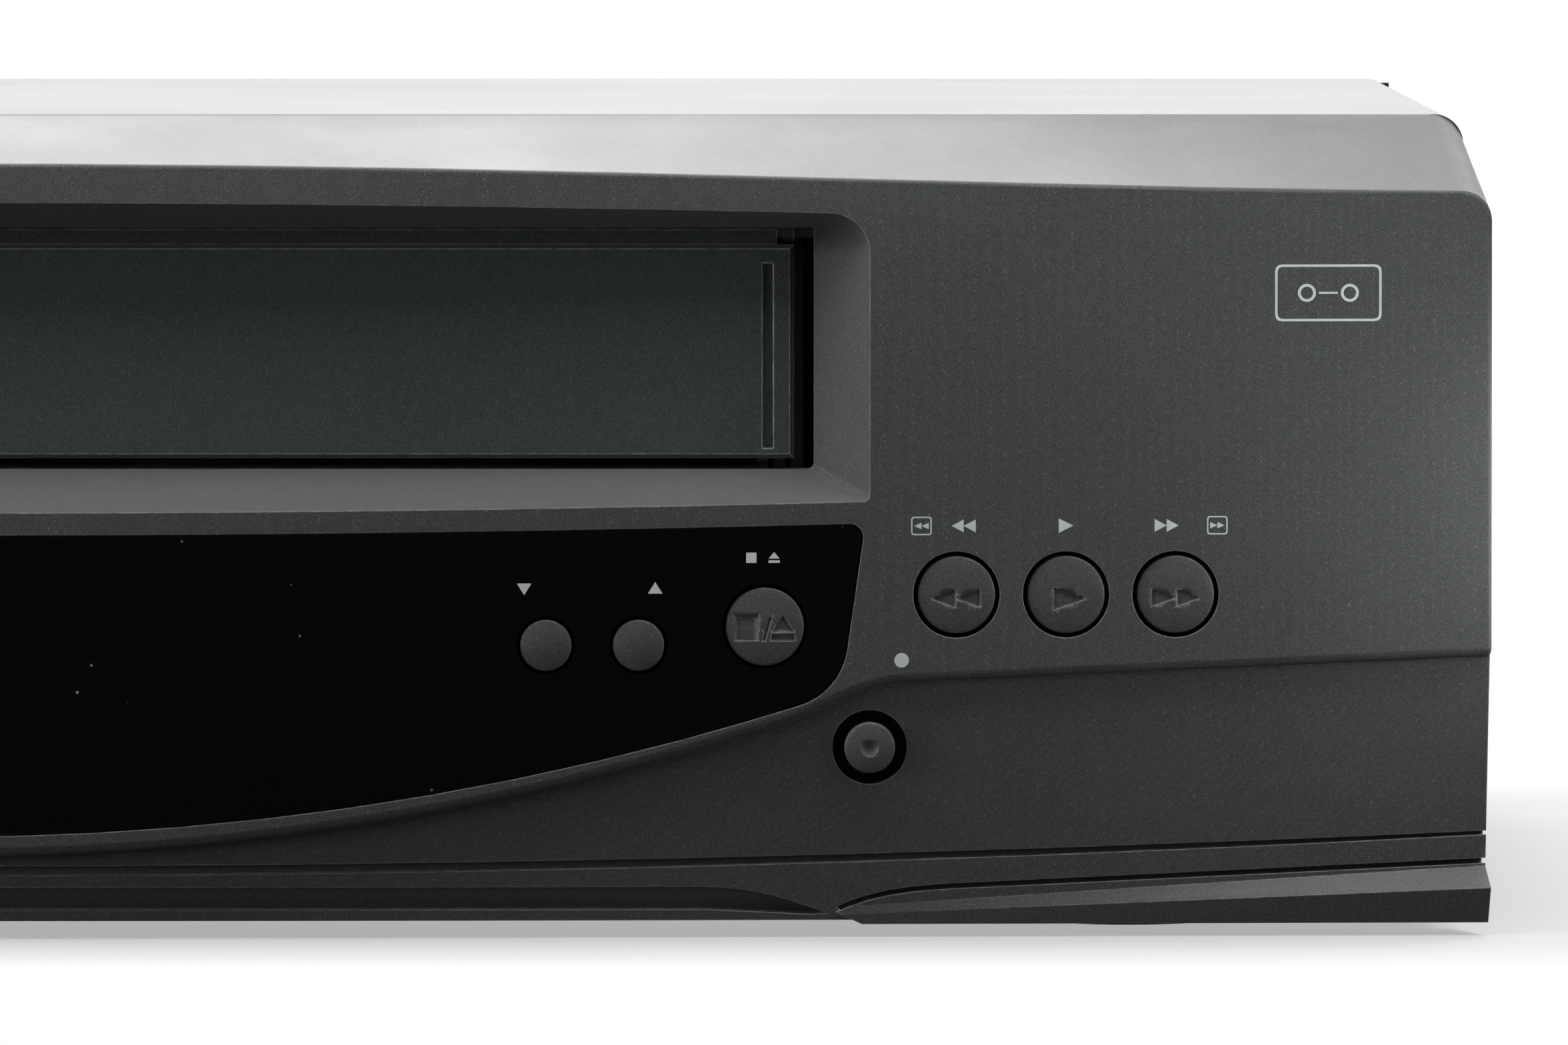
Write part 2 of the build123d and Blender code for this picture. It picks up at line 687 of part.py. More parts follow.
def front_bezel():
    outer = faced_form()
    hollow = bezel_form(shell, skirt_gap + skirt_height) & behind_face(wall)
    body = outer - hollow
    tongue_half = cover_half - cover_sheet - running_gap
    tongue_top = case_height - cover_sheet - running_gap
    tongue = block((-tongue_half, tongue_half), (bezel_depth - 2, bezel_depth + 4), (30, tongue_top))
    inner_half, inner_top = cover_half - shell, case_height - shell
    tongue -= block((-inner_half, inner_half), (0, bezel_depth + 5), (0, inner_top))
    tongue = fillet(tongue.edges().filter_by(Axis.Y).sort_by(Axis.Z)[-2:], cover_bend - cover_sheet)
    body += tongue
    body += slot_box() & outer
    for x, z, (_, hole) in keys().values():
        body += rod_y(x, (face_y(x) + 3, guide_end), z, hole + guide_wall)
    for x in (-front_board[0] + front_board_fixing, front_board[0] - front_board_fixing):
        for z in (front_board[1] + front_board_fixing, front_board[2] - front_board_fixing):
            body += rod_y(x, (face_y(x) + 4, board_depth), z, front_boss)
    body -= recess(groove_outline(), behind_face(step_back + undercut * 24 + groove_depth))
    body -= recess(lens_outline(), behind_face(step_back + undercut * crease_end, lens_lean, lens_top))
    body -= both(wing_shadow())
    body += both(wing() & bezel_form(0, 0))
    body -= slot_cut()
    body -= both(rod_x((slot_half - 1, slot_half + 2), hinge_y, hinge_height,
                       hinge_pin + pin_clearance))
    body -= recess(window_outline(), behind_face(window_recess))
    body -= block((-display_half, display_half), (0, bezel_depth), display_height)
    across, up = receiver_hole
    body -= block((receiver_x - across, receiver_x + across), (0, bezel_depth),
                  (receiver_z - up, receiver_z + up))
    for x, z, (_, hole) in keys().values():
        body -= rod_y(x, (-2, bezel_depth), z, hole)
    return body


def display_window():
    pane = front_prism(window_outline(window_gap), (-5, bow + 10)) & behind_face(0.05)
    pane -= behind_face(window_recess)
    for x, z, (_, hole) in keys().values():
        if abs(x) < window_low[0] - hole:
            pane -= rod_y(x, (-2, bezel_depth), z, hole)
    return pane


def cassette_flap():
    plate = block((-flap_half, flap_half), (flap_depth, flap_depth + flap_sheet), (flap_low, flap_high))
    plate = chamfer(plate.faces().sort_by(Axis.Y)[0].edges(), flap_edge)
    for side in (-1, 1):
        x = side * (flap_half - rib_from_end - rib_size[0] / 2)
        middle = (flap_low + flap_high) / 2 - 0.5
        plate -= block((x - rib_size[0] / 2, x + rib_size[0] / 2), (0, flap_depth + rib_depth),
                       (middle - rib_size[1] / 2, middle + rib_size[1] / 2))
    neck = block((-flap_half + 2, flap_half - 2), (flap_depth + 1.0, hinge_y + 0.5),
                 (flap_high - 1.5, hinge_height))
    barrel = rod_x((-flap_half, flap_half), hinge_y, hinge_height, hinge_radius)
    pins = rod_x((-slot_half - 1.6, slot_half + 1.6), hinge_y, hinge_height, hinge_pin)
    return plate + neck + barrel + pins


def key_cap(x, z, radii):
    """Domed cap with its retaining flange and the stem that meets its switch."""
    cap, hole = radii
    front = face_y(x) - key_proud
    dome = cap * cap / (2 * key_dome)
    flange_y = guide_end + key_gap
    body = rod_y(x, (front - 1, flange_y + 0.5), z, cap) & (Pos(x, front + dome, z) * Sphere(dome))
    rim = body.edges().filter_by(GeomType.CIRCLE).sort_by(Axis.Y)[0]
    body = fillet(rim, key_round)
    body += rod_y(x, (flange_y, flange_y + key_flange), z, hole + flange_reach)
    stem_end = board_depth - switch_body[1] - plunger[1] - key_travel - key_play
    half = key_stem / 2
    return body + block((x - half, x + half), (flange_y, stem_end), (z - half, z + half))


def tact_switches():
    pieces = []
    for x, z, _ in keys().values():
        half = switch_body[0] / 2
        base_y = board_depth - switch_body[1]
        body = block((x - half, x + half), (base_y, board_depth), (z - half, z + half))
        pieces.append(body + rod_y(x, (base_y - plunger[1], base_y + 0.5), z, plunger[0]))
    return pieces


def front_control_board():
    half, low, high = front_board
    return block((-half, half), (board_depth, board_depth + board_sheet), (low, high))


def display_tube():
    """Flat vacuum tube with its sealed edge and tip."""
    length, thick = display_glass
    low, high = display_height[0] + display_margin_z, display_height[1] - display_margin_z
    middle = (low + high) / 2
    rear = board_depth - display_seat
    glass = block((-length / 2, length / 2), (rear - thick, rear), (low, high))
    glass = chamfer(glass.edges().filter_by(Axis.Y), 1.0)
    return glass + rod_x((length / 2 - 1, length / 2 + tube_tip[1]), rear - thick / 2, middle, tube_tip[0])


def display_holder():
    place = display_glass[0] / 2 - holder_inset
    low, high = display_height[0] + display_margin_z, display_height[1] - display_margin_z
    rear = board_depth - display_seat
    return [block((x - holder_half, x + holder_half), (rear, board_depth), (low, high))
            for x in (-place, place)]


def remote_receiver():
    wide, high, deep = receiver_size
    front = board_depth - deep
    can = block((receiver_x - wide / 2, receiver_x + wide / 2), (front, board_depth),
                (receiver_z - high / 2, receiver_z + high / 2))
    return can + (Pos(receiver_x, front, receiver_z) * Sphere(receiver_lens))


def front_ribbon():
    """Flat cable from the foot of the front board down to the main board."""
    left, right = ribbon_x
    y, board_y = board_depth + board_sheet, main_board[2]
    low = ribbon_plug[0] + 2
    plug = block((left - 2, right + 2), (y, y + 4), ribbon_plug)
    ribbon = block((left, right), (y + 4, board_y + 6), (low, low + ribbon_sheet))
    socket = block((left - 2, right + 2), (board_y + 2, board_y + 8), (board_top, low))
    return plug + ribbon + socket


# ---- case ----
def cover_section(inset):
    """Front view of the cover's outside, or of its inside when inset by the sheet."""
    half, high = cover_half - inset, case_height - inset
    low = foot_height + 2.0 - inset * 20
    outline = make_face(Polyline((-half, low), (half, low), (half, high), (-half, high), close=True))
    return fillet(outline.vertices().sort_by(Axis.Y)[-2:], cover_bend - inset)


def top_cover():
    front, rear = bezel_depth, rear_y + cover_sheet
    body = front_prism(cover_section(0), (front, rear)) - front_prism(cover_section(cover_sheet),
                                                                      (front - 1, rear + 1))
    half = cover_half - cover_sheet / 2
    body += block((-half, half), (rear_y, rear), (case_height - cover_lip, case_height - cover_sheet / 2))
    across = top_vent[0] / 2
    for row in range(top_vents[1]):
        end = rear_y - top_vent_inset[1] - top_vent_pitch[1] * row
        for column in range(top_vents[0]):
            x = top_vent_inset[0] - half_width + top_vent_pitch[0] * column
            body -= block((x - across, x + across), (end - top_vent[1], end),
                          (case_height - cover_bend, case_height + 1))
    across = side_vent[0] / 2
    for column in range(side_vents):
        y = rear_y - side_vent_inset - side_vent_pitch * column
        body -= both(block((cover_half - cover_bend, cover_half + 1), (y - across, y + across),
                           side_vent[1:]))
    return body


def screw(place, direction):
    """Pan-head screw with its head's underside at place, pointing back along direction."""
    radius, height = screw_head
    long, wide, deep = screw_cross
    head = Cylinder(radius, height, align=(Align.CENTER, Align.CENTER, Align.MIN))
    head = chamfer(head.faces().sort_by(Axis.Z)[-1].edges(), screw_edge)
    cross = Pos(0, 0, height) * (Box(long, wide, 2 * deep) + Box(wide, long, 2 * deep))
    return Plane(origin=place, z_dir=direction) * (head - cross)


def cover_screws():
    screws = []
    for y in (side_screw_inset[0], rear_y - side_screw_inset[1]):
        for side in (-1, 1):
            screws.append(screw((side * cover_half, y, side_screw_height), (side, 0, 0)))
    for x in (-cover_half + rear_screw_inset, 0, cover_half - rear_screw_inset):
        screws.append(screw((x, rear_y + cover_sheet, case_height - rear_screw_drop), (0, 1, 0)))
    return screws


def pan_half():
    return cover_half - cover_sheet - running_gap


def base_pan():
    half = pan_half()
    floor = block((-half, half), (bezel_depth, rear_y - pan_sheet), (foot_height, pan_top))
    walls = block((half - pan_sheet, half), (bezel_depth + pan_wall_gap, rear_y - pan_sheet),
                  (foot_height, pan_wall))
    pan = floor + both(walls)
    outer = half_width - pan_vent_inset[0]
    for row in range(pan_vents):
        y = rear_y - pan_vent_inset[1] - pan_vent_pitch * row
        pan -= both(block((outer - pan_vent[1], outer), (y - pan_vent[0] / 2, y + pan_vent[0] / 2),
                          (0, pan_top + 1)))
    for x, y in deck_corners():
        pan += post(x, y, (pan_top, deck_low), deck_column)
    for x, y in board_posts():
        pan += post(x, y, (pan_top, board_low), board_column)
    return pan


def deck_corners():
    """Centres of the columns that carry the deck, and of the screws that hold it."""
    return [(x, y) for x in (-deck_half + deck_fixing, deck_half - deck_fixing)
            for y in (deck_front + deck_fixing, deck_rear - deck_fixing)]


def board_posts():
    """Centres of the short posts that carry the two boards."""
    posts = []
    for left, right, front, rear in (main_board, power_board):
        posts += [(x, y) for x in (left + board_fixing, right - board_fixing)
                  for y in (front + board_fixing, rear - board_fixing)]
    return posts


def feet():
    pieces = []
    for x in (-half_width + foot_inset[0], half_width - foot_inset[0]):
        for y in (foot_inset[1], rear_y - foot_inset[1]):
            foot = post(x, y, (0, foot_height), foot_radius)
            foot = chamfer(foot.faces().sort_by(Axis.Z)[0].edges(), foot_edge)
            pieces.append(foot)
    return pieces


def rear_panel():
    half = pan_half()
    panel = block((-half, half), (rear_y - pan_sheet, rear_y), (foot_height, case_height - cover_sheet))
    panel = fillet(panel.edges().filter_by(Axis.Y).sort_by(Axis.Z)[-2:], cover_bend)
    for x, z in scart_places:
        panel -= panel_hole(x, z, scart_size, scart_gap)
    for x, z in phono_places:
        panel -= rod_y(x, (rear_y - 5, rear_y + 1), z, phono_collar + running_gap)
    for x, z in aerial_places:
        panel -= rod_y(x, (rear_y - 5, rear_y + 1), z, aerial_collar + running_gap)
    panel -= panel_hole(*inlet_place, inlet_size, inlet_gap)
    across = rear_vent[0] / 2
    for column in range(rear_vents):
        x = rear_vent_inset - half_width + rear_vent_pitch * column
        panel -= block((x - across, x + across), (rear_y - 5, rear_y + 1), rear_vent[1:])
    return panel


def panel_hole(x, z, size, gap):
    """Square hole through the rear panel for a socket of the given size."""
    across, up = size[0] / 2 + gap, size[1] / 2 + gap
    return block((x - across, x + across), (rear_y - 5, rear_y + 1), (z - up, z + up))


def scart_sockets():
    """Two 21-way sockets: a keyed shroud round a block of contact slots."""
    sockets = []
    for x, z in scart_places:
        w, h = scart_size[0] / 2, scart_size[1] / 2
        outside = rear_y + scart_proud
        bottom, front = rear_y - scart_well, rear_y - scart_core_front
        body = block((x - w, x + w), (rear_y - scart_deep, outside), (z - h, z + h))
        body += block((x - w, x + w), (rear_y - scart_deep, rear_y - pan_sheet), (board_top, z))
        hole = block((x - w + scart_wall, x + w - scart_wall), (bottom, outside + 1),
                     (z - h + scart_wall, z + h - scart_wall))
        corner = rod_y(x + w, (bottom - 1, outside), z - h, scart_key)
        corner &= block((x - w, x + w), (0, outside), (z - h, z + h))
        core = block((x - w + scart_core[0], x + w - scart_core[1]), (bottom - 1, front),
                     (z - scart_core[2], z + scart_core[2]))
        body = body - hole + corner + core
        wide, high, deep = scart_slot
        for way in range(scart_ways):
            left = x - w + scart_core[1] + scart_pitch * way
            body -= block((left, left + wide), (front - deep, rear_y), (z - high / 2, z + high / 2))
        sockets.append(body)
    return sockets


def phono_sockets():
    x, upper = phono_places[-1]
    half, deep, rise = phono_block
    holder = block((x - half, x + half), (rear_y - deep, rear_y - pan_sheet), (board_top, upper + rise))
    for _, z in phono_places:
        holder += rod_y(x, (rear_y - 2, rear_y), z, phono_collar)
        holder += rod_y(x, (rear_y - 1, rear_y + socket_reach), z, phono_barrel)
        holder -= rod_y(x, (rear_y - phono_well, rear_y + socket_reach + 1), z, phono_bore)
    return holder


def tuner_can():
    left, right = aerial_places[0][0] - tuner_side, aerial_places[1][0] + tuner_side
    deep, rise = tuner_size
    top = aerial_height + rise
    can = block((left, right), (rear_y - deep, rear_y - pan_sheet), (board_top, top))
    can = chamfer(can.faces().sort_by(Axis.Z)[-1].edges(), 0.8)
    rear = rear_y - tuner_slot_inset[1]
    for column in range(tuner_slots):
        x = left + tuner_slot_inset[0] + tuner_slot_pitch * column
        can -= block((x, x + tuner_slot[0]), (rear - tuner_slot[1], rear), (top - 1, top + 1))
    return can


def aerial_inlet():
    """Coaxial socket that takes the aerial's plug round its hollow centre contact."""
    x, z = aerial_places[0]
    end = rear_y + socket_reach
    socket = rod_y(x, (rear_y - pan_sheet, end), z, aerial_collar)
    socket -= rod_y(x, (rear_y + 0.5, end + 1), z, aerial_plug)
    socket += rod_y(x, (rear_y, end - 1), z, aerial_pin + aerial_wall)
    return socket - rod_y(x, (rear_y + 1, end), z, aerial_pin)


def aerial_outlet():
    """Coaxial plug for the lead to the television: a thin shell round a pin."""
    x, z = aerial_places[1]
    end = rear_y + socket_reach
    spigot = rod_y(x, (rear_y - pan_sheet, rear_y), z, aerial_collar)
    spigot += rod_y(x, (rear_y - 1, end), z, aerial_plug)
    spigot -= rod_y(x, (rear_y + 0.5, end + 1), z, aerial_plug - aerial_wall)
    return spigot + rod_y(x, (rear_y, end), z, aerial_pin)


def mains_inlet():
    """Two-pin appliance inlet with a figure-of-eight well."""
    x, z = inlet_place
    w, h = inlet_size[0] / 2, inlet_size[1] / 2
    radius, deep = inlet_well
    bottom, outside = rear_y - deep, rear_y + inlet_proud
    body = block((x - w, x + w), (rear_y - inlet_deep, outside), (z - h, z + h))
    body += block((x - w + 3, x + w - 3), (rear_y - inlet_deep, rear_y - 6), (board_top, z - h + 1))
    for side in (-1, 1):
        body -= rod_y(x + side * inlet_pin[1], (bottom, outside + 1), z, radius)
    for side in (-1, 1):
        body += rod_y(x + side * inlet_pin[1], (bottom - 1, rear_y - 1), z, inlet_pin[0])
    return body


# ---- boards ----
def board(outline, holes):
    left, right, front, rear = outline
    sheet = block((left, right), (front, rear), (board_low, board_top))
    for x, y in holes:
        sheet -= post(x, y, (0, board_top + 1), deck_column + column_gap)
    return sheet


def main_board_sheet():
    return board(main_board, [place for place in deck_corners() if place[0] > main_board[0]])


def board_chips():
    chips = []
    places = {(deck_half + x, y): size for (x, y), size in chips_beside_deck.items()}
    places.update(chips_under_deck)
    for (x, y), (width, depth) in places.items():
        chip = block((x - width / 2, x + width / 2), (y - depth / 2, y + depth / 2),
                     (board_top, board_top + chip_height))
        chips.append(chamfer(chip.faces().sort_by(Axis.Z)[-1].edges(), 0.4))
    return chips


def capacitors():
    cans = []
    for row in range(signal_cans[0]):
        x, y = deck_half + signal_can_place[0], signal_can_place[1] + signal_cans[1] * row
        cans.append(post(x, y, (board_top, board_top + signal_can[1]), signal_can[0]))
    for column in range(power_cans[0]):
        x = power_board[0] + power_can_place[0] + power_cans[1] * column
        y = power_board[2] + power_can_place[1]
        cans.append(post(x, y, (board_top, board_top + power_can[1]), power_can[0]))
    return cans


def switching_transformer():
    """Ferrite core round its taped winding."""
    width, depth, height = transformer_core
    x, y = power_board[0] + transformer_place[0], power_board[2] + transformer_place[1]
    core = block((x, x + width), (y, y + depth), (board_top, board_top + height))
    core -= block((x + core_limb, x + width - core_limb), (y - 1, y + depth + 1),
                  (board_top + core_limb, board_top + height - core_limb))
    inside = core_limb + core_gap
    winding = block((x + inside, x + width - inside), (y - winding_past_core, y + depth + winding_past_core),
                    (board_top + inside, board_top + height - inside))
    return [core, winding]


def mains_capacitor():
    radius, height = mains_can
    x, y = power_board[0] + mains_can_place[0], power_board[2] + mains_can_place[1]
    return post(x, y, (board_top, board_top + height), radius)


def heat_sink():
    """Finned aluminium extrusion beside the transformer."""
    left, front = power_board[0] + sink_place[0], power_board[2] + sink_place[1]
    reach, height, base = sink_size
    count, pitch, thick = sink_fins
    fins = block((left, left + base), (front, front + sink_length), (board_top, board_top + height))
    for fin in range(count):
        y = front + pitch * fin
        fins += block((left, left + reach), (y, y + thick), (board_top, board_top + height))
    return fins


# ---- tape deck ----
def guide_path(side):
    """Pivot, radius, and start and end angles of a guide's arc, in degrees."""
    pivot = (side * guide_pivot[0], reel_y + guide_pivot[1])
    start = (side * guide_rest[0], reel_y + guide_rest[1])
    radius = hypot(start[0] - pivot[0], start[1] - pivot[1])
    angle = degrees(atan2(start[1] - pivot[1], start[0] - pivot[0]))
    return pivot, radius, angle, angle - side * guide_swing


def on_arc(pivot, radius, angle):
    return (pivot[0] + radius * cos(radians(angle)), pivot[1] + radius * sin(radians(angle)))


def deck_plate():
    plate = block((-deck_half, deck_half), (deck_front, deck_rear), (deck_low, deck_top))
    plate = fillet(plate.edges().filter_by(Axis.Z), deck_corner)
    for side in (-1, 1):
        hole = Pos(side * deck_hole_place[0], reel_y - deck_hole_place[1]) * SlotOverall(*deck_hole)
        plate -= flat_prism(hole, (0, 40))
    for side in (-1, 1):
        pivot, radius, start, end = guide_path(side)
        ends = [on_arc(pivot, radius, angle) for angle in (start, end)]
        middle = on_arc(pivot, radius, (start + end) / 2)
        track = SlotArc(ThreePointArc(ends[0], middle, ends[1]), 2 * guide_pin + 1.2)
        plate -= flat_prism(track, (0, 40))
        plate += post(side * reel_x, reel_y, (deck_low, deck_top + reel_boss[1]), reel_boss[0])
        plate += post(side * reel_x, reel_y, (deck_low, reel_top + 1.0), reel_pin)
    plate -= post(0, reel_y, (0, 40), clutch_hole)
    plate -= post(capstan_x, capstan_y, (0, 40), bearing_hole)
    return plate


def deck_frame(side):
    """Side frame of the cassette lift, with its guide rail and its turned-out foot."""
    inner, outer = frame_half, frame_half + frame_sheet
    front = basket_front + carriage_front
    rear = basket_rear + carriage_in + frame_past
    top = carriage_top() - 1
    upright, rim = frame_rim
    slot = guide_pin + pin_play
    frame = block((inner, outer), (front, rear), (deck_top, top))
    frame += block((inner, outer + frame_foot), (front, rear), (deck_top, deck_top + frame_sheet))
    frame -= block((0, outer + 1), (front + upright, rear - upright), (deck_top + rim, rail_height - upright))
    for y in carriage_pins():
        frame -= block((0, outer + 1), (y - slot, y + carriage_in + slot),
                       (rail_height - slot, rail_height + slot))
    if side > 0:
        ear = 2 * pinion_axle + 5
        frame += block((inner, outer), (pinion_y() - ear, pinion_y() + ear), (top - 1, pinion_z() + ear / 2))
        frame += rod_x((inner - 3, inner + 0.5), pinion_y(), pinion_z(), pinion_axle)
        return frame
    return frame.mirror(Plane.YZ)


def carriage_span():
    """Front and rear of the carriage's side plates, unloaded."""
    return basket_front + carriage_front, basket_rear - carriage_rear


def carriage_pins():
    """The two guide pins of a side plate sit inside the plate's span."""
    front, rear = carriage_span()
    return front + carriage_pin_inset, rear - carriage_pin_inset - 2 * guide_pin


def carriage_top():
    return basket_top + basket_sheet + side_gap + carriage_sheet


def pinion_y():
    return (carriage_span()[0] + carriage_in + carriage_span()[1]) / 2


def pinion_z():
    return carriage_top() + pinion_radius + running_gap


def carriage_pinion():
    """Toothed drive wheel that moves the carriage by its rack, turning on the right frame."""
    wheel = gear(0, 0, (-pinion_face / 2, pinion_face / 2), pinion_radius, pinion_teeth,
                 pinion_axle + running_gap)
    x = frame_half - running_gap - pinion_face / 2
    return Pos(x, pinion_y(), pinion_z()) * Rot(0, 90, 0) * wheel


def basket_pins():
    front, rear = carriage_span()
    return front + basket_pin_inset[0], rear - basket_pin_inset[1]


def loading_carriage():
    """Two side plates on the rails, tied by a bar over the basket; the basket's pins ride in them."""
    front, rear = carriage_span()
    inner, outer = carriage_half, carriage_half + carriage_sheet
    top = carriage_top()
    slot = guide_pin + pin_play
    pin_high = basket_top - basket_pin_drop
    pin_low = pin_high - carriage_down
    plate = block((inner, outer), (front, rear), (pin_low - guide_pin - 6, top))
    for y in basket_pins():
        plate -= block((0, outer + 1), (y - slot, y + slot), (pin_low - slot, pin_high + slot))
    for y in carriage_pins():
        plate += rod_x((outer - 0.5, frame_half + frame_sheet), y, rail_height, guide_pin)
    bar = block((-outer, outer), (front + carriage_bar[0], front + carriage_bar[1]),
                (top - carriage_sheet, top))
    carriage = both(plate) + bar
    tooth = pi * pinion_radius / 9
    y = front + 1.5
    while y < rear - 2:
        carriage -= block((inner - 1, outer + 1), (y, y + tooth / 2), (top - rack_depth, top + 1))
        y += tooth
    return carriage


def cassette_basket():
    """Open sheet-metal basket: ledges under the cassette, side walls and a sprung roof."""
    half, sheet = basket_half, basket_sheet
    low, high = basket_floor - sheet, basket_top
    wall_front = basket_front + basket_wall_front
    floor_strip, front_strip, rear_strip = basket_strips
    walls = block((half, half + sheet), (wall_front, basket_rear), (low, high + sheet))
    ledge = block((half - basket_ledge, half + sheet), (basket_front, basket_rear), (low, basket_floor))
    basket = both(walls + ledge)
    basket += block((-half, half), (basket_front, basket_front + floor_strip), (low, basket_floor))
    basket += block((-half, half), (wall_front, wall_front + front_strip), (high, high + sheet))
    basket += block((-half, half), (basket_rear - rear_strip, basket_rear), (high, high + sheet))
    basket += both(block((basket_bar_x - basket_bar_half, basket_bar_x + basket_bar_half),
                         (wall_front, basket_rear), (high, high + sheet)))
    for y in basket_pins():
        basket += both(rod_x((half + sheet - 0.5, carriage_half + carriage_sheet), y,
                             basket_top - basket_pin_drop, guide_pin))
    return basket


def gear(x, y, z, radius, teeth, bore):
    """Spur gear with straight-flanked teeth, z = (low, high)."""
    root = radius - gear_tooth
    wheel = post(x, y, z, root)
    step = 360 / teeth
    width = pi * radius / teeth
    tooth = Polyline((root - 0.5, -width * 0.55), (radius, -width * 0.3), (radius, width * 0.3),
                     (root - 0.5, width * 0.55), close=True)
    flank = make_face(tooth)
    teeth_all = [Pos(x, y) * Rot(0, 0, step * index) * flank for index in range(teeth)]
    wheel += [flat_prism(outline, z) for outline in teeth_all]
    return wheel - post(x, y, (z[0] - 1, z[1] + 1), bore)


def reel_table(side):
    """Toothed turntable with the splined spindle that drives a cassette hub."""
    x = side * reel_x
    low = deck_top + reel_boss[1] + running_gap
    bore = reel_pin + running_gap
    table = gear(x, reel_y, (low, low + gear_face - 1), reel_radius, reel_teeth, bore)
    table += post(x, reel_y, (low, reel_top), reel_seat) - post(x, reel_y, (0, 90), bore)
    table += post(x, reel_y, (reel_top, reel_top + spindle_height), spindle_radius)
    reach, half, height = spindle_fin
    for angle in range(0, 360, 60):
        fin = block((spindle_radius - 1, spindle_radius + reach), (-half, half),
                    (reel_top, reel_top + height))
        table += Pos(x, reel_y, 0) * Rot(0, 0, angle) * fin
    return table - post(x, reel_y, (0, reel_top + 1.0 + running_gap), bore)


def leaning(solid):
    """Tilt a drum part about the point where the axis meets the deck."""
    return Pos(0, drum_y, deck_top) * Rot(0, drum_lean, 0) * solid


def lower_drum():
    height = drum_split - deck_top
    drum = Pos(0, 0, height / 2 - 3) * Cylinder(drum_radius, height + 6)
    drum -= Pos(0, 0, height - 5) * Cylinder(drum_shaft + running_gap, 20)
    room = 2 * drum_radius
    drum = leaning(drum) & block((-room, room), (drum_y - room, drum_y + room), (deck_top, drum_top))
    thick, reach, corner = drum_base
    half = drum_radius + reach
    base = block((-half, half), (drum_y - drum_base_front, drum_y + drum_base_rear),
                 (deck_top, deck_top + thick))
    return drum + fillet(base.edges().filter_by(Axis.Z), corner)


def upper_drum():
    low, high = drum_split - deck_top + running_gap, drum_top - deck_top
    drum = Pos(0, 0, (low + high) / 2) * Cylinder(drum_radius, high - low)
    drum -= Pos(0, 0, high) * Cylinder(drum_radius - drum_wall, 6)
    shaft = Pos(0, 0, low - 4) * Cylinder(drum_shaft, 14)
    deep, wide = head_notch
    for index in range(head_notches):
        turned = Rot(0, 0, 360 / head_notches * index)
        drum -= Pos(0, 0, low) * turned * Pos(drum_radius, 0, 0) * Box(deep, wide, deep)
    return leaning(drum + shaft)


def drum_rotor():
    """Flux ring of the drum motor, pressed on top of the upper drum."""
    outer, inner, height = rotor
    seat = drum_top - deck_top - 3
    ring = Pos(0, 0, seat + height / 2) * Cylinder(outer, height)
    ring -= Pos(0, 0, seat + height) * Cylinder(inner, height / 2)
    return leaning(ring)


def capstan():
    """Capstan shaft with the flywheel below the deck and its drive pulley."""
    radius, height = flywheel
    z = belt_height() + pulley_height / 2
    wheel = post(capstan_x, capstan_y, (z, z + height), radius)
    wheel -= post(capstan_x, capstan_y, (z + flywheel_web, z + height + 1), radius - flywheel_rim)
    wheel += post(capstan_x, capstan_y, (z, z + height), flywheel_hub)
    wheel += pulley(capstan_x, capstan_y, capstan_pulley)
    return wheel + post(capstan_x, capstan_y, (z, drum_top), capstan_radius)


def pulley(x, y, radius):
    """Flanged pulley for the belt, radius being that of its groove."""
    z, quarter = belt_height(), pulley_height / 4
    wheel = post(x, y, (z - 2 * quarter, z + 2 * quarter), radius + pulley_flange)
    rim = post(x, y, (z - quarter, z + quarter), radius + pulley_flange + 1)
    return wheel - (rim - post(x, y, (0, deck_top), radius))


def capstan_bearing():
    radius, flange, thick = bearing
    sleeve = post(capstan_x, capstan_y, (deck_low - 0.5, roller_low - 2 * running_gap), radius)
    sleeve += post(capstan_x, capstan_y, (deck_top, deck_top + thick), flange)
    return sleeve - post(capstan_x, capstan_y, (0, drum_top), capstan_radius + bearing_play)


def belt_height():
    return deck_low - flywheel_gap - flywheel[1] - pulley_height / 2


def clutch_pulley():
    """Centre gear above the deck on the shaft of the pulley that the belt drives."""
    wheel = pulley(0, reel_y, clutch_pulley_radius)
    wheel += post(0, reel_y, (belt_height(), deck_top + 6), clutch_shaft)
    low = deck_top + running_gap
    return wheel + gear(0, reel_y, (low, low + gear_face), clutch_radius, clutch_teeth, clutch_shaft / 2)


def drive_belt():
    """Flat belt round the capstan's pulley and the clutch pulley."""
    z = belt_height()
    loops = []
    thick, wide = belt_size
    for extra in (running_gap, running_gap + thick):
        circles = [Pos(capstan_x, capstan_y) * Circle(capstan_pulley + extra),
                   Pos(0, reel_y) * Circle(clutch_pulley_radius + extra)]
        loops.append(make_hull([edge for circle in circles for edge in circle.edges()]))
    return flat_prism(loops[1] - loops[0], (z - wide / 2, z + wide / 2))


def pinch_place():
    """Pivot of the pinch arm and the roller's centre when it is off the tape."""
    pivot = (capstan_x + pinch_pivot[0], capstan_y + pinch_pivot[1])
    reach = pinch_radius + capstan_radius + running_gap
    distance = hypot(*pinch_pivot)
    along = atan2(-pinch_pivot[1], -pinch_pivot[0])
    length = distance - reach
    angle = degrees(along) - pinch_swing
    return pivot, length, on_arc(pivot, length, angle)


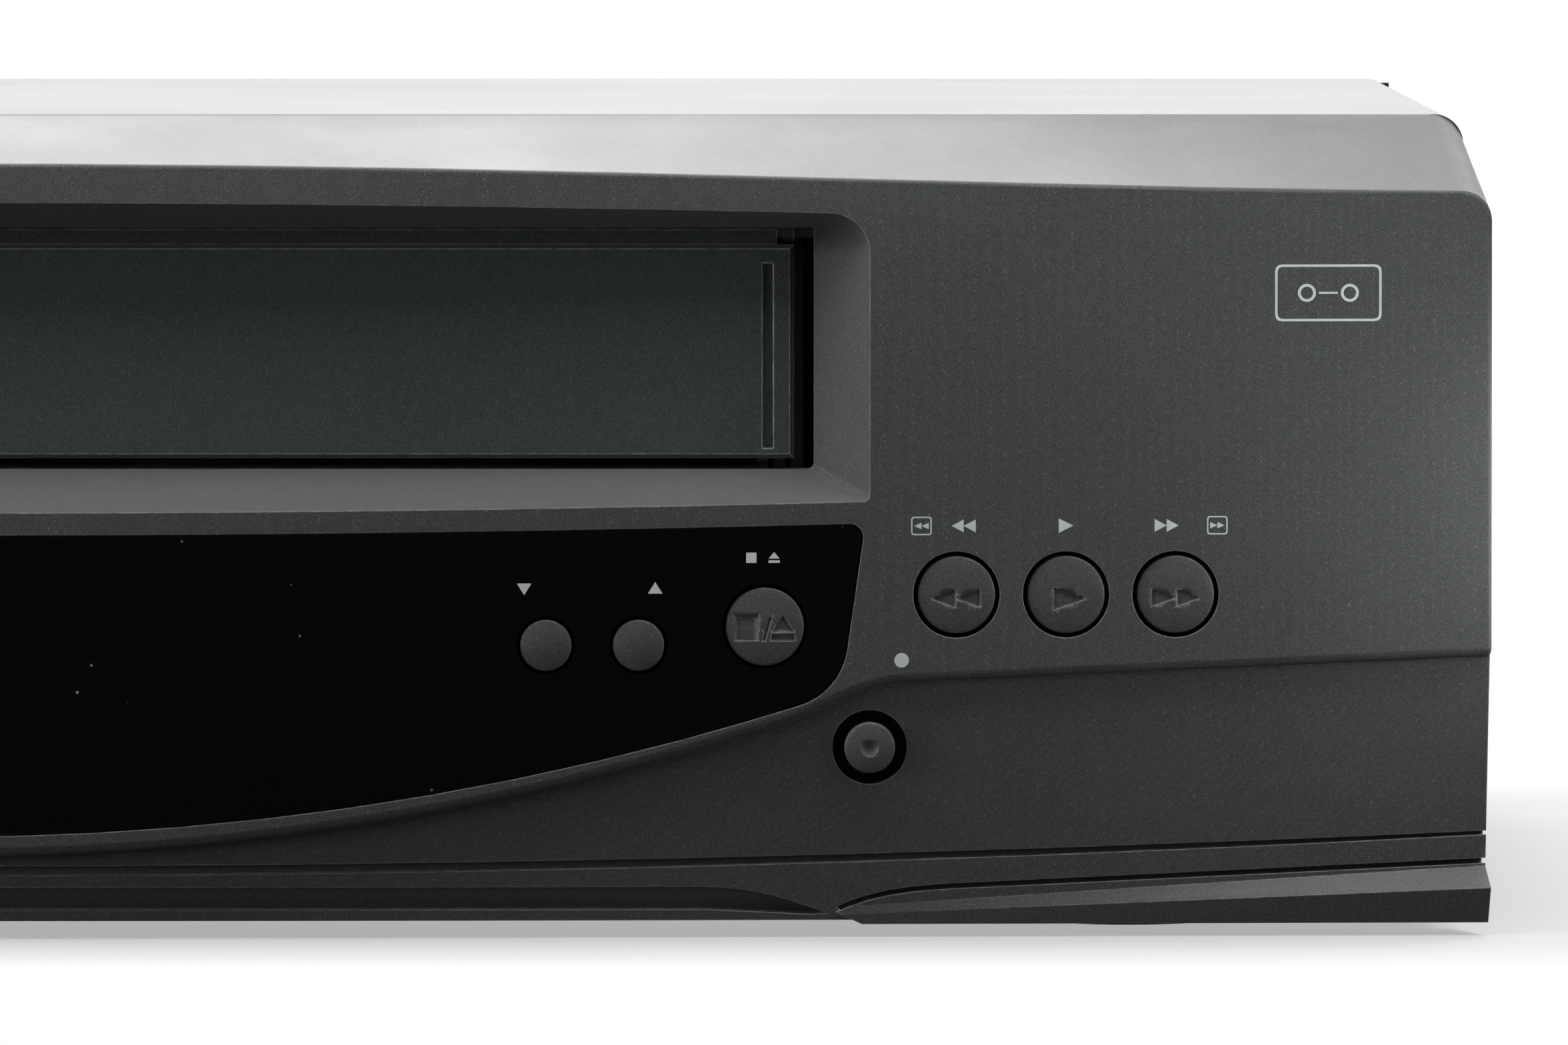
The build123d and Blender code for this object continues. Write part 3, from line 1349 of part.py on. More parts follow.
def pinch_arm():
    pivot, length, centre = pinch_place()
    low = roller_low - running_gap - 2
    arm = post(*pivot, (deck_top + running_gap, low + 6), 4.0)
    arm += post(*centre, (low, low + 2), 3.5)
    angle = degrees(atan2(centre[1] - pivot[1], centre[0] - pivot[0]))
    web = block((0, length), (-2.5, 2.5), (low, low + 2))
    arm += Pos(*pivot, 0) * Rot(0, 0, angle) * web
    arm += post(*centre, (low, low + 4 + pinch_height), arm_pin)
    return arm - post(*pivot, (0, low + 4), arm_pin + running_gap)


def pinch_roller():
    _, _, centre = pinch_place()
    roller = post(*centre, (roller_low, roller_low + pinch_height), pinch_radius)
    return roller - post(*centre, (0, drum_top), arm_pin + running_gap)


def idler_place():
    return clutch_radius + idler_radius + running_gap


def idler_arm():
    low = deck_top + 0.6 + gear_face
    reach = idler_place()
    arm = block((-2.5, 2.5), (reel_y, reel_y + reach), (low, low + 1.2))
    arm += post(0, reel_y, (low, low + 1.2), 5.0) + post(0, reel_y + reach, (low, low + 1.2), 3.5)
    arm += post(0, reel_y + reach, (deck_top + 0.8, low + 0.5), arm_pin)
    return arm - post(0, reel_y, (0, drum_top), clutch_shaft + running_gap)


def idler_gear():
    low = deck_top + running_gap
    return gear(0, reel_y + idler_place(), (low, low + gear_face), idler_radius, idler_teeth,
                arm_pin + running_gap)


def tension_arm():
    """Back-tension arm with the post that feels the tape."""
    px, py = tension_pivot[0], reel_y + tension_pivot[1]
    ex, ey = tension_rest[0], reel_y + tension_rest[1]
    low = deck_top + running_gap
    angle = degrees(atan2(ey - py, ex - px))
    arm = Pos(px, py, 0) * Rot(0, 0, angle) * block((0, hypot(ex - px, ey - py)), (-2, 2), (low, low + 1.6))
    arm += post(px, py, (low, low + 4), 3.5) + post(ex, ey, (low, low + 1.6), 2.6)
    arm += post(ex, ey, (low, low + post_height), 1.5)
    return arm - post(px, py, (0, low + 3), tension_pin + running_gap)


def deck_pivots():
    """Fixed pins that the pinch and tension arms turn on."""
    pivot, _, _ = pinch_place()
    pins = post(*pivot, (deck_top, deck_top + 8), arm_pin)
    px, py = tension_pivot[0], reel_y + tension_pivot[1]
    pins += post(px, py, (deck_top, deck_top + 2.8), tension_pin)
    return pins


def tape_guide(side):
    """Guide carriage: boat on the deck, keel in its curved track, roller and slant posts."""
    pivot, radius, start, _ = guide_path(side)
    x, y = on_arc(pivot, radius, start)
    low = deck_top + running_gap
    boat = post(x, y, (low, low + 2.5), 5.0)
    boat += post(x, y, (deck_low - 1.2, low + 0.5), guide_pin)
    boat += post(x, y, (low, low + post_height), post_radius)
    boat += post(x, y, (low + post_height - 3, low + post_height), post_radius + 1)
    return boat + post(x, y, (low + 2.5, low + 6), post_radius + 1)


def erase_head():
    x, y = erase_place[0], drum_y - erase_place[1]
    across, deep = erase_size[0] / 2, erase_size[1] / 2
    reach, radius, height = erase_face
    body = block((x - across, x + across), (y - deep, y + deep), (deck_top, deck_top + head_height))
    pole = rod_y(x, (y - deep - reach, y - 1), deck_top + height, radius)
    return fillet(body.edges().filter_by(Axis.Z), head_round) + pole


def audio_control_head():
    """Combined head on its adjustable plate, between the drum and the capstan."""
    x, y = capstan_x + audio_place[0], capstan_y + audio_place[1]
    leg_x, leg_y, radius, rise = audio_legs
    low = deck_top + rise
    across, deep, thick = audio_plate[0] / 2, audio_plate[1] / 2, audio_plate[2]
    plate = block((x - across, x + across), (y - deep, y + deep), (low, low + thick))
    across, deep = audio_size[0] / 2, audio_size[1] / 2
    body = block((x - across, x + across), (y - deep, y + deep), (low + thick, deck_top + head_height))
    body = fillet(body.edges().filter_by(Axis.Z), head_round)
    for side in (-1, 1):
        plate += post(x + side * leg_x, y + leg_y, (deck_top, low), radius)
    return plate + body


def cam_centre():
    return cam_place[0], reel_y + cam_place[1]


def cam_gear():
    """Mode cam that times the guides and the brakes, with its spiral track."""
    x, y = cam_centre()
    low = deck_top + running_gap
    wheel = gear(x, y, (low, low + gear_face + 1), cam_radius, cam_teeth, cam_axle + running_gap)
    outer, inner, off = cam_track
    track = post(x + off, y, (low + 2, low + 9), outer) - post(x + off, y, (0, drum_top), inner)
    return wheel - track


def worm_axis():
    x, y = cam_centre()
    return x, y + cam_radius + worm_radius + running_gap, deck_top + worm_radius + worm_above_deck


def loading_worm():
    """Worm on the motor's shaft: a core with turned rings for its thread."""
    x, y, z = worm_axis()
    half = worm_length / 2
    core = rod_x((x - half, x + half), y, z, worm_radius - 1)
    count, pitch, thick = worm_turns
    for turn in range(count):
        left = x - half + 0.5 + pitch * turn
        core += rod_x((left, left + thick), y, z, worm_radius)
    return core - rod_x((x - worm_length, x + worm_length), y, z, motor_shaft + running_gap)


def loading_motor():
    """Small brushed motor in its bracket, with the shaft that carries the worm."""
    x, y, z = worm_axis()
    front = x + motor_from_cam
    sheet, half, rise = motor_bracket
    can_z = max(z, deck_top + motor_radius)
    can = rod_x((front, front + motor_length), y, can_z, motor_radius)
    bracket = block((front - sheet, front), (y - half, y + half), (deck_top, can_z + rise))
    return can + bracket, rod_x((x - worm_length / 2 - 2, front), y, z, motor_shaft)


def deck_screws():
    screws = []
    for x, y in deck_corners():
        screws.append(screw((x, y, deck_top), (0, 0, 1)))
    return screws


def flap_spring():
    """Torsion spring on the flap's left pin: coil and the leg that rests on the bezel."""
    x = (-slot_half + 0.5, -flap_half - 0.4)
    coil = rod_x(x, hinge_y, hinge_height, spring_radius)
    return coil - rod_x((x[0] - 1, x[1] + 1), hinge_y, hinge_height, hinge_pin + spring_play)


os.makedirs("parts", exist_ok=True)
save("front_bezel", front_bezel())
save("display_window", display_window())
save("cassette_flap", cassette_flap())
save("flap_spring", flap_spring())
for name, (x, z, radii) in keys().items():
    save(name, key_cap(x, z, radii))
save("tact_switches", *tact_switches())
save("front_board", front_control_board(), *display_holder())
save("display_tube", display_tube())
save("remote_receiver", remote_receiver())
save("front_ribbon", front_ribbon())
save("top_cover", top_cover())
save("base_pan", base_pan())
save("rear_panel", rear_panel())
save("feet", *feet())
save("screws", *cover_screws(), *deck_screws())
save("scart_sockets", *scart_sockets())
save("phono_sockets", phono_sockets())
save("tuner", tuner_can(), aerial_inlet(), aerial_outlet())
save("mains_inlet", mains_inlet())
save("main_board", main_board_sheet())
save("power_board", board(power_board, []))
save("board_chips", *board_chips())
save("capacitors", *capacitors())
save("switching_transformer", *switching_transformer())
save("mains_capacitor", mains_capacitor())
save("heat_sink", heat_sink())
save("deck_plate", deck_plate() + deck_pivots())
save("deck_frame_left", deck_frame(-1))
save("deck_frame_right", deck_frame(1))
save("loading_carriage", loading_carriage())
save("cassette_basket", cassette_basket())
save("carriage_pinion", carriage_pinion())
save("supply_reel_table", reel_table(-1))
save("take_up_reel_table", reel_table(1))
save("lower_drum", lower_drum())
save("upper_drum", upper_drum())
save("drum_rotor", drum_rotor())
save("capstan", capstan())
save("capstan_bearing", capstan_bearing())
save("clutch_pulley", clutch_pulley())
save("drive_belt", drive_belt())
save("pinch_arm", pinch_arm())
save("pinch_roller", pinch_roller())
save("idler_arm", idler_arm())
save("idler_gear", idler_gear())
save("tension_arm", tension_arm())
save("supply_guide", tape_guide(-1))
save("take_up_guide", tape_guide(1))
save("erase_head", erase_head())
save("audio_control_head", audio_control_head())
save("cam_gear", cam_gear())
save("loading_worm", loading_worm())
save("loading_motor", *loading_motor())
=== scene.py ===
import bpy
import bmesh
import json
import math
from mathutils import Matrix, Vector


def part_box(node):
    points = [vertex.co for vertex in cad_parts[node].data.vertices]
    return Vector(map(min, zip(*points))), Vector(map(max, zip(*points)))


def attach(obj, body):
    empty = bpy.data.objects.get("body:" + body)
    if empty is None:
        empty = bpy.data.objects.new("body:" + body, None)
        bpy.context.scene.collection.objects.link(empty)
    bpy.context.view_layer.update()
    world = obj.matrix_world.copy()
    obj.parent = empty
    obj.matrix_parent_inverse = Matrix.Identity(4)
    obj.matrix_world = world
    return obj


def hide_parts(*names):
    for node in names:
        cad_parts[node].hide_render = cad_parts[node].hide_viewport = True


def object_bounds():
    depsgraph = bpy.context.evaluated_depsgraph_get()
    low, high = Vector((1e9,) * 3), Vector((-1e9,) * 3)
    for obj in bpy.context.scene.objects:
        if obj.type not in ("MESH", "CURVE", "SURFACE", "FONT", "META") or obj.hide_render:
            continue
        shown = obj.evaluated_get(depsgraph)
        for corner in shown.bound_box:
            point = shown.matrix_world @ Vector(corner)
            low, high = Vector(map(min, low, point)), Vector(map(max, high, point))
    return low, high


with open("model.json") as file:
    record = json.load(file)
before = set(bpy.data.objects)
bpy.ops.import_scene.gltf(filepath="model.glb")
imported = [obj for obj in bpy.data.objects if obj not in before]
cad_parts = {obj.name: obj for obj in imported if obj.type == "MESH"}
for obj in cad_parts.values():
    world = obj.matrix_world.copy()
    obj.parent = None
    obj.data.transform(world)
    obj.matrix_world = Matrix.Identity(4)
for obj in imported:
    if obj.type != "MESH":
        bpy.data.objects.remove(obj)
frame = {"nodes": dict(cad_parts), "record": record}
cad_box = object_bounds()
MM = 0.001

HALF_WIDTH = 180.0 * MM             # half of the face's width
FRONT_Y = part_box("front_bezel")[0].y


# ---- node helpers ----
UNIT = (0.0, 1.0)
NOISE_SPAN = (0.3, 0.7)             # where nearly all values of a noise lie
EDGE_SAMPLES = 4
EDGE_TURN = (0.99, 0.93)            # cosine between rounded and true normal: no painted edge highlight, full painted highlight
UPWARD = (0.5, 0.95)                # height of a normal: first dust and painted top light, all of it


class Tree:
    """Node tree of a material or the world, with short calls for the nodes used here."""

    def __init__(self, owner, coordinates):
        owner.use_nodes = True
        self.nodes = owner.node_tree.nodes
        self.links = owner.node_tree.links
        self.place = self.node("TexCoord").outputs[coordinates]

    def feed(self, socket, value):
        """Link a socket to another node's output, or give it a plain colour or number."""
        if hasattr(value, "links"):
            self.links.new(value, socket)
        elif isinstance(value, tuple):
            socket.default_value = (*value, 1.0)
        else:
            socket.default_value = value

    def node(self, kind, **inputs):
        """New node with its inputs fed by name, where _ stands for a blank."""
        node = self.nodes.new(f"ShaderNode{kind}")
        for name, value in inputs.items():
            self.feed(node.inputs[name.replace("_", " ")], value)
        return node

    def stretched(self, scale):
        """Coordinates multiplied by scale, one factor per axis."""
        node = self.node("Mapping", Vector=self.place)
        node.inputs["Scale"].default_value = scale
        return node.outputs["Vector"]

    def noise(self, scale, detail=2.0, rough=0.5, vector=None):
        node = self.node("TexNoise", Scale=scale, Detail=detail, Roughness=rough,
                         Vector=vector or self.place)
        return node.outputs["Fac"]

    def cells(self, scale, vector=None):
        """Outputs of a pattern of cells: their colours, and the distance from their centres."""
        return self.node("TexVoronoi", Scale=scale, Vector=vector or self.place).outputs

    def ramp(self, value, start, end, first=0.0, last=1.0):
        """Grey that goes from the first level, where the value is start, to the last at end."""
        node = self.node("ValToRGB", Fac=value)
        stops = zip(node.color_ramp.elements, (start, end), (first, last))
        for element, position, level in stops:
            element.position = position
            element.color = (*grey(level), 1.0)
        return node.outputs["Color"]

    def remap(self, value, span, result=UNIT):
        """Value carried from one span of numbers to another, and held at its ends."""
        node = self.node("MapRange", Value=value, From_Min=span[0], From_Max=span[1],
                         To_Min=result[0], To_Max=result[1])
        return node.outputs["Result"]

    def math(self, operation, *values):
        node = self.nodes.new("ShaderNodeMath")
        node.operation = operation
        for socket, value in zip(node.inputs, values):
            self.feed(socket, value)
        return node.outputs["Value"]

    def mix(self, factor, first, second):
        """Mix of two colours, each an output or a plain colour."""
        node = self.nodes.new("ShaderNodeMix")
        node.data_type = "RGBA"
        self.feed(node.inputs["Factor"], factor)
        self.feed(node.inputs[6], first)
        self.feed(node.inputs[7], second)
        return node.outputs[2]

    def mix_shaders(self, factor, first, second):
        node = self.nodes.new("ShaderNodeMixShader")
        for socket, value in zip(node.inputs, (factor, first, second)):
            self.feed(socket, value)
        return node.outputs["Shader"]

    def rounded_edge_highlight(self, radius):
        """Normal with the edges rounded off, and the share of lightening along them: a painted
        highlight, partly wear.
        """
        soft = self.node("Bevel", Radius=radius)
        soft.samples = EDGE_SAMPLES
        geometry = self.node("NewGeometry")
        turn = self.nodes.new("ShaderNodeVectorMath")
        turn.operation = "DOT_PRODUCT"
        self.feed(turn.inputs[0], soft.outputs["Normal"])
        self.feed(turn.inputs[1], geometry.outputs["Normal"])
        edge_highlight_and_wear = self.remap(self.noise(600, detail=3.0, rough=0.6), (0.35, 0.6), (0.3, 1.0))
        # Edges lighten where the rounded normal turns away from the true one: a painted highlight,
        # partly wear, broken up by noise.
        highlight_and_wear = self.math("MULTIPLY", self.remap(turn.outputs["Value"], EDGE_TURN), edge_highlight_and_wear)
        return soft.outputs["Normal"], highlight_and_wear

    def dust_and_top_light(self, most):
        """Share of dust, up to the most, on the surfaces that face up, which also paints light on
        those tops.
        """
        split = self.node("SeparateXYZ", Vector=self.node("NewGeometry").outputs["Normal"])
        patches = self.remap(self.noise(400, detail=3.0), (0.35, 0.65), (0.86, 1.0))
        # The share grows as the face looks up: dust, and a painted light from above.
        dust = self.remap(split.outputs["Z"], UPWARD, (0.0, most))
        return self.math("MULTIPLY", dust, patches)


class Shader(Tree):
    """A new material's tree, with calls for its main surface."""

    def __init__(self, name):
        self.material = bpy.data.materials.new(name)
        super().__init__(self.material, "Object")
        self.surface = self.nodes["Principled BSDF"]

    def bump(self, height, distance, strength, normal=None):
        node = self.node("Bump", Strength=strength, Distance=distance, Height=height)
        if normal:
            self.feed(node.inputs["Normal"], normal)
        self.set(Normal=node.outputs["Normal"])

    def set(self, **values):
        """Feed the surface's inputs, where _ stands for a blank, and return the material."""
        for name, value in values.items():
            self.feed(self.surface.inputs[name.replace("_", " ")], value)
        return self.material


def grey(level):
    return (level, level, level)


def times(colour, factor):
    return tuple(channel * factor for channel in colour)


# ---- materials ----
# The scales of noises and cells are per metre.
EDGE_RADIUS = 0.2 * MM
# Grey that the faces looking up turn towards: dust, and a painted light from above.
DUST_AND_TOP_LIGHT = (0.22, 0.22, 0.215)
MOST_DUST_AND_TOP_LIGHT = 0.5
FINE_BUMP = 0.02 * MM
MOULDED_BUMP = 0.03 * MM
PAINT_BUMP = 0.06 * MM


def sprayed_plastic(name, base, fleck, rough, edge_highlight_and_wear):
    """Charcoal moulding with a fine metallic spray: grain, mottling, flecks, dust with a painted
    light on the faces that look up, and edges lightened by a painted highlight, partly wear. The
    last argument is the grey level of a lightened edge."""
    s = Shader(name)
    grain = s.remap(s.noise(5200, rough=0.7), NOISE_SPAN)
    tone = s.mix(grain, times(base, 0.62), times(base, 1.36))
    mottle = s.remap(s.noise(45, detail=4.0, rough=0.6), NOISE_SPAN, (0.0, 0.35))
    tone = s.mix(mottle, tone, times(base, 1.15))
    flecks = s.ramp(s.noise(9800, detail=0.0), 0.68, 0.8)
    edge_normal, highlight_and_wear = s.rounded_edge_highlight(EDGE_RADIUS)
    # Faces that look up lighten: dust, and a painted light from above.
    dusty_and_lit = s.mix(s.dust_and_top_light(MOST_DUST_AND_TOP_LIGHT), s.mix(flecks, tone, fleck), DUST_AND_TOP_LIGHT)
    # Edges lighten towards a grey: a painted highlight, partly wear.
    colour = s.mix(highlight_and_wear, dusty_and_lit, grey(edge_highlight_and_wear))
    smudge = s.noise(22, detail=3.0, rough=0.6)
    roughness = s.remap(smudge, (0.3, 0.75), (rough - 0.05, rough + 0.08))
    s.bump(s.noise(4200), FINE_BUMP, 0.6, edge_normal)
    return s.set(Base_Color=colour, Roughness=roughness)


def acrylic(name):
    """Polished black window with dust specks and a slight haze."""
    s = Shader(name)
    dots = s.ramp(s.cells(190)["Distance"], 0.02, 0.045, first=1.0, last=0.0)
    dusty_places = s.ramp(s.noise(23), 0.48, 0.6)
    specks = s.math("MULTIPLY", dots, dusty_places)
    colour = s.mix(specks, (0.0045, 0.004, 0.0045), (0.5, 0.46, 0.4))
    haze = s.remap(s.noise(14, detail=4.0, rough=0.6), (0.35, 0.75), (0.04, 0.10))
    return s.set(Base_Color=colour, Roughness=haze, Specular_IOR_Level=0.5)


def moulded(name, base, rough):
    """Plain moulded plastic or rubber with a fine grain."""
    s = Shader(name)
    tone = s.mix(s.noise(80, detail=4.0, rough=0.6), times(base, 0.85), times(base, 1.12))
    s.bump(s.noise(2200), MOULDED_BUMP, 0.5)
    roughness = s.remap(s.noise(40, detail=3.0), NOISE_SPAN, (rough - 0.06, rough + 0.08))
    return s.set(Base_Color=tone, Roughness=roughness)


def painted_steel(name, base):
    """Sheet steel with a fine textured paint."""
    s = Shader(name)
    tone = s.mix(s.noise(30, detail=4.0, rough=0.6), times(base, 0.92), times(base, 1.08))
    s.bump(s.noise(1500, detail=3.0, rough=0.6), PAINT_BUMP, 0.6)
    roughness = s.remap(s.noise(16, detail=3.0), NOISE_SPAN, (0.42, 0.46))
    return s.set(Base_Color=tone, Roughness=roughness)


def sheet_metal(name, base, rough):
    """Plated or bright metal with rolled streaks and a spangle."""
    s = Shader(name)
    spangle = s.ramp(s.cells(260)["Color"], 0.0, 1.0)
    tone = s.mix(spangle, times(base, 0.9), times(base, 1.05))
    streaks = s.noise(40, detail=3.0, rough=0.6, vector=s.stretched((1.0, 30.0, 1.0)))
    roughness = s.remap(streaks, NOISE_SPAN, (rough - 0.08, rough + 0.1))
    s.bump(streaks, FINE_BUMP, 0.4)
    return s.set(Base_Color=tone, Roughness=roughness, Metallic=1.0)


def circuit_board(name):
    """Paper laminate with printed copper runs showing through the lacquer."""
    s = Shader(name)
    tracks = s.ramp(s.cells(160, s.stretched((1.0, 2.5, 1.0)))["Distance"], 0.42, 0.5)
    colour = s.mix(tracks, (0.20, 0.11, 0.04), (0.13, 0.10, 0.03))
    s.bump(tracks, MOULDED_BUMP, 0.5)
    return s.set(Base_Color=colour, Roughness=0.4)


def tube_glass(name):
    """Dark sealed glass of the display tube."""
    s = Shader(name)
    tone = s.mix(s.noise(60), (0.01, 0.014, 0.014), (0.016, 0.02, 0.02))
    return s.set(Base_Color=tone, Roughness=0.08)


def ink(name):
    """Screen-printed symbols, slightly worn."""
    s = Shader(name)
    tone = s.mix(s.noise(900, detail=3.0), (0.62, 0.66, 0.62), (0.78, 0.82, 0.78))
    return s.set(Base_Color=tone, Roughness=0.55)


LOOKS = {
    # The last value of each sprayed plastic is the grey of its lightened edges: a painted
    # highlight, partly wear.
    "charcoal_plastic": (sprayed_plastic, dict(
        base=(0.07, 0.075, 0.077), fleck=grey(0.26), rough=0.46, edge_highlight_and_wear=0.45)),
    # The flap's colour is darker than the charcoal plastic's: a painted shade of the pocket over
    # it.
    "flap_plastic": (sprayed_plastic, dict(
        base=(0.052, 0.062, 0.064), fleck=grey(0.18), rough=0.5, edge_highlight_and_wear=0.75)),
    "key_plastic": (sprayed_plastic, dict(
        base=(0.07, 0.074, 0.076), fleck=grey(0.22), rough=0.46, edge_highlight_and_wear=0.5)),
    "black_acrylic": (acrylic, {}),
    "black_plastic": (moulded, dict(base=grey(0.02), rough=0.45)),
    "white_plastic": (moulded, dict(base=(0.7, 0.69, 0.64), rough=0.42)),
    "ribbon_plastic": (moulded, dict(base=(0.5, 0.5, 0.48), rough=0.4)),
    "sleeve_plastic": (moulded, dict(base=(0.02, 0.035, 0.1), rough=0.25)),
    "circuit_board": (circuit_board, {}),
    "painted_steel": (painted_steel, dict(base=(0.065, 0.067, 0.07))),
    "zinc_steel": (sheet_metal, dict(base=(0.62, 0.62, 0.6), rough=0.32)),
    "bright_steel": (sheet_metal, dict(base=(0.7, 0.7, 0.7), rough=0.25)),
    "aluminium": (sheet_metal, dict(base=(0.8, 0.8, 0.81), rough=0.28)),
    "plated_brass": (sheet_metal, dict(base=(0.78, 0.72, 0.56), rough=0.25)),
    "ferrite": (moulded, dict(base=(0.05, 0.05, 0.055), rough=0.6)),
    "tube_glass": (tube_glass, {}),
    "black_rubber": (moulded, dict(base=grey(0.018), rough=0.7)),
}
MATERIALS = {name: make(name, **values) for name, (make, values) in LOOKS.items()}
INK = ink("printed_ink")


def finish_nodes():
    """Give every CAD piece the material of its slot."""
    for part in frame["record"]["subparts"]:
        piece = frame["nodes"][part["node"]]
        material = MATERIALS[part["material_slot"]]
        if not piece.material_slots:
            piece.data.materials.append(material)
        for holder in piece.material_slots:
            holder.material = material


# ---- symbols, sunk into the keys or printed beside them ----
# Their outlines are lists of (x, z) points in millimetres about the symbol's centre.
RECESS = 0.22 * MM                  # depth of a symbol in a cap
CUTTER_PROUD = 0.6 * MM             # how far its cutter stands out of the cap
DISH_RADIUS = 1.1 * MM              # of the shallow dish in the record cap
DISH_DEPTH = 0.42 * MM
DISH_SUBDIVISIONS = 6               # of the ball that cuts it
INK_PROUD = 0.02 * MM               # height of a printed symbol over its carrier
INK_SUNK = 0.03 * MM                # depth of its back in the carrier
RAY_START = 20 * MM                 # how far in front of the bezel a probing ray starts
SLAB_WELD = 0.002 * MM
SLAB_CUTS = 3                       # per edge, so that a slab follows a curved front
KEY_WELD = 0.001 * MM
SHARP_EDGE = math.radians(24)
CORNER_STEPS = 3
CIRCLE_SIDES = 32
KEY_CORNER = 0.12                   # millimetres, as the outlines are
LINE_CORNER = 0.35
INNER_TIGHTER = 0.6                 # of a line's width, by which its inner corner is tighter


def triangle(tip, base, half_height, z=0.0):
    """Triangle that points along X, from its base to its tip."""
    return [(tip, z), (base, z + half_height), (base, z - half_height)]


def box(left, right, low, high):
    return [(left, low), (right, low), (right, high), (left, high)]


def rounded(points, radius):
    """Outline with its corners rounded."""
    outline = []
    corners = [Vector(point) for point in points]
    neighbours = zip(corners[-1:] + corners[:-1], corners, corners[1:] + corners[:1])
    for before, corner, after in neighbours:
        start = corner + (before - corner).normalized() * radius
        end = corner + (after - corner).normalized() * radius
        for step in range(CORNER_STEPS + 1):
            share = step / CORNER_STEPS
            curve = start * (1 - share) ** 2 + corner * 2 * share * (1 - share) + end * share**2
            outline.append(tuple(curve))
    return outline


def circle(radius, x=0.0):
    turns = [math.tau * step / CIRCLE_SIDES for step in range(CIRCLE_SIDES)]
    return [(x + radius * math.cos(turn), radius * math.sin(turn)) for turn in turns]


def ring(outer, inner):
    """Band between two outlines of equal length, as four-cornered pieces."""
    pieces = []
    for step in range(len(outer)):
        last = step - 1
        pieces.append([outer[last], outer[step], inner[step], inner[last]])
    return pieces


def line_box(half_width, half_height, line, corner=LINE_CORNER):
    """Rounded rectangular frame, with lines of the given width."""
    width, height = half_width - line, half_height - line
    outer = rounded(box(-half_width, half_width, -half_height, half_height), corner)
    inner = rounded(box(-width, width, -height, height), corner - line * INNER_TIGHTER)
    return ring(outer, inner)


def front_of(node, x, z):
    """Depth of a node's front at (x, z)."""
    start = Vector((x, FRONT_Y - RAY_START, z))
    return frame["nodes"][node].ray_cast(start, Vector((0, 1, 0)))[1].y


def cap_centre(node):
    low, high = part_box(node)
    return ((low.x + high.x) / 2, (low.z + high.z) / 2)


def as_mesh(bm, name):
    mesh = bpy.data.meshes.new(name)
    bm.to_mesh(mesh)
    bm.free()
    return mesh


def add_object(name, data):
    piece = bpy.data.objects.new(name, data)
    bpy.context.scene.collection.objects.link(piece)
    return piece


def slab(name, node, centre, outlines, front, back):
    """Closed solid under the outlines that follows the node's front, offset by front and back."""
    bm = bmesh.new()
    for outline in outlines:
        corners = [bm.verts.new((centre[0] + x * MM, 0.0, centre[1] + z * MM)) for x, z in outline]
        bm.faces.new(corners)
    bmesh.ops.remove_doubles(bm, verts=bm.verts[:], dist=SLAB_WELD)
    bmesh.ops.triangulate(bm, faces=bm.faces[:])
    bmesh.ops.subdivide_edges(bm, edges=bm.edges[:], cuts=SLAB_CUTS, use_grid_fill=True)
    for vert in bm.verts:
        vert.co.y = front_of(node, vert.co.x, vert.co.z) + back
    raised = bmesh.ops.extrude_face_region(bm, geom=bm.faces[:])["geom"]
    for item in raised:
        if isinstance(item, bmesh.types.BMVert):
            item.co.y += front - back
    bmesh.ops.recalc_face_normals(bm, faces=bm.faces[:])
    return add_object(name, as_mesh(bm, name))


def dimple(node):
    """Ball that cuts the shallow dish into a cap."""
    centre = cap_centre(node)
    ball = (DISH_RADIUS**2 + DISH_DEPTH**2) / (2 * DISH_DEPTH)
    bm = bmesh.new()
    bmesh.ops.create_icosphere(bm, subdivisions=DISH_SUBDIVISIONS, radius=ball)
    piece = add_object("dimple", as_mesh(bm, "dimple"))
    piece.location = (centre[0], front_of(node, *centre) + DISH_DEPTH - ball, centre[1])
    return piece


def sink(node, body, cutter):
    """Stand-in for a key with the cutter's shape sunk into its cap."""
    key = frame["nodes"][node]
    mesh = key.data.copy()
    bm = bmesh.new()
    bm.from_mesh(mesh)
    bmesh.ops.remove_doubles(bm, verts=bm.verts[:], dist=KEY_WELD)
    bm.to_mesh(mesh)
    bm.free()
    piece = add_object(f"{node}_marked", mesh)
    change = piece.modifiers.new("symbol", "BOOLEAN")
    change.operation = "DIFFERENCE"
    change.solver = "EXACT"
    change.object = cutter
    solved = piece.evaluated_get(bpy.context.evaluated_depsgraph_get())
    piece.data = bpy.data.meshes.new_from_object(solved)
    piece.modifiers.clear()
    bpy.data.objects.remove(cutter)
    piece.data.shade_smooth()
    piece.data.set_sharp_from_angle(angle=SHARP_EDGE)
    piece.data.materials.clear()
    piece.data.materials.append(MATERIALS["key_plastic"])
    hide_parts(node)
    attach(piece, body)


def mark_keys():
    """Sink the symbols into four keys and the dish into the record key."""
    slash = [(-0.28, -1.66), (0.06, -1.66), (0.88, 1.13), (0.54, 1.13)]
    eject = [(0.75, -0.64), (3.47, -0.6), (2.1, 1.3)]
    symbols = {
        "rewind": [triangle(-2.9, -0.12, 1.05, -0.45), triangle(0.0, 2.75, 1.02, -0.45)],
        "play": [triangle(2.39, -1.46, 1.32, -0.5)],
        "forward": [triangle(0.1, -2.8, 1.05, -0.4), triangle(2.93, 0.16, 1.02, -0.4)],
        "stop_eject": [box(-3.38, -0.79, -1.66, 1.13), slash, eject,
                       box(0.75, 3.47, -1.66, -0.85)],
    }
    for body, outlines in symbols.items():
        node = f"{body}_key"
        soft = [rounded(outline, KEY_CORNER) for outline in outlines]
        sink(node, body, slab("cutter", node, cap_centre(node), soft, -CUTTER_PROUD, RECESS))
    sink("record_key", "record", dimple("record_key"))


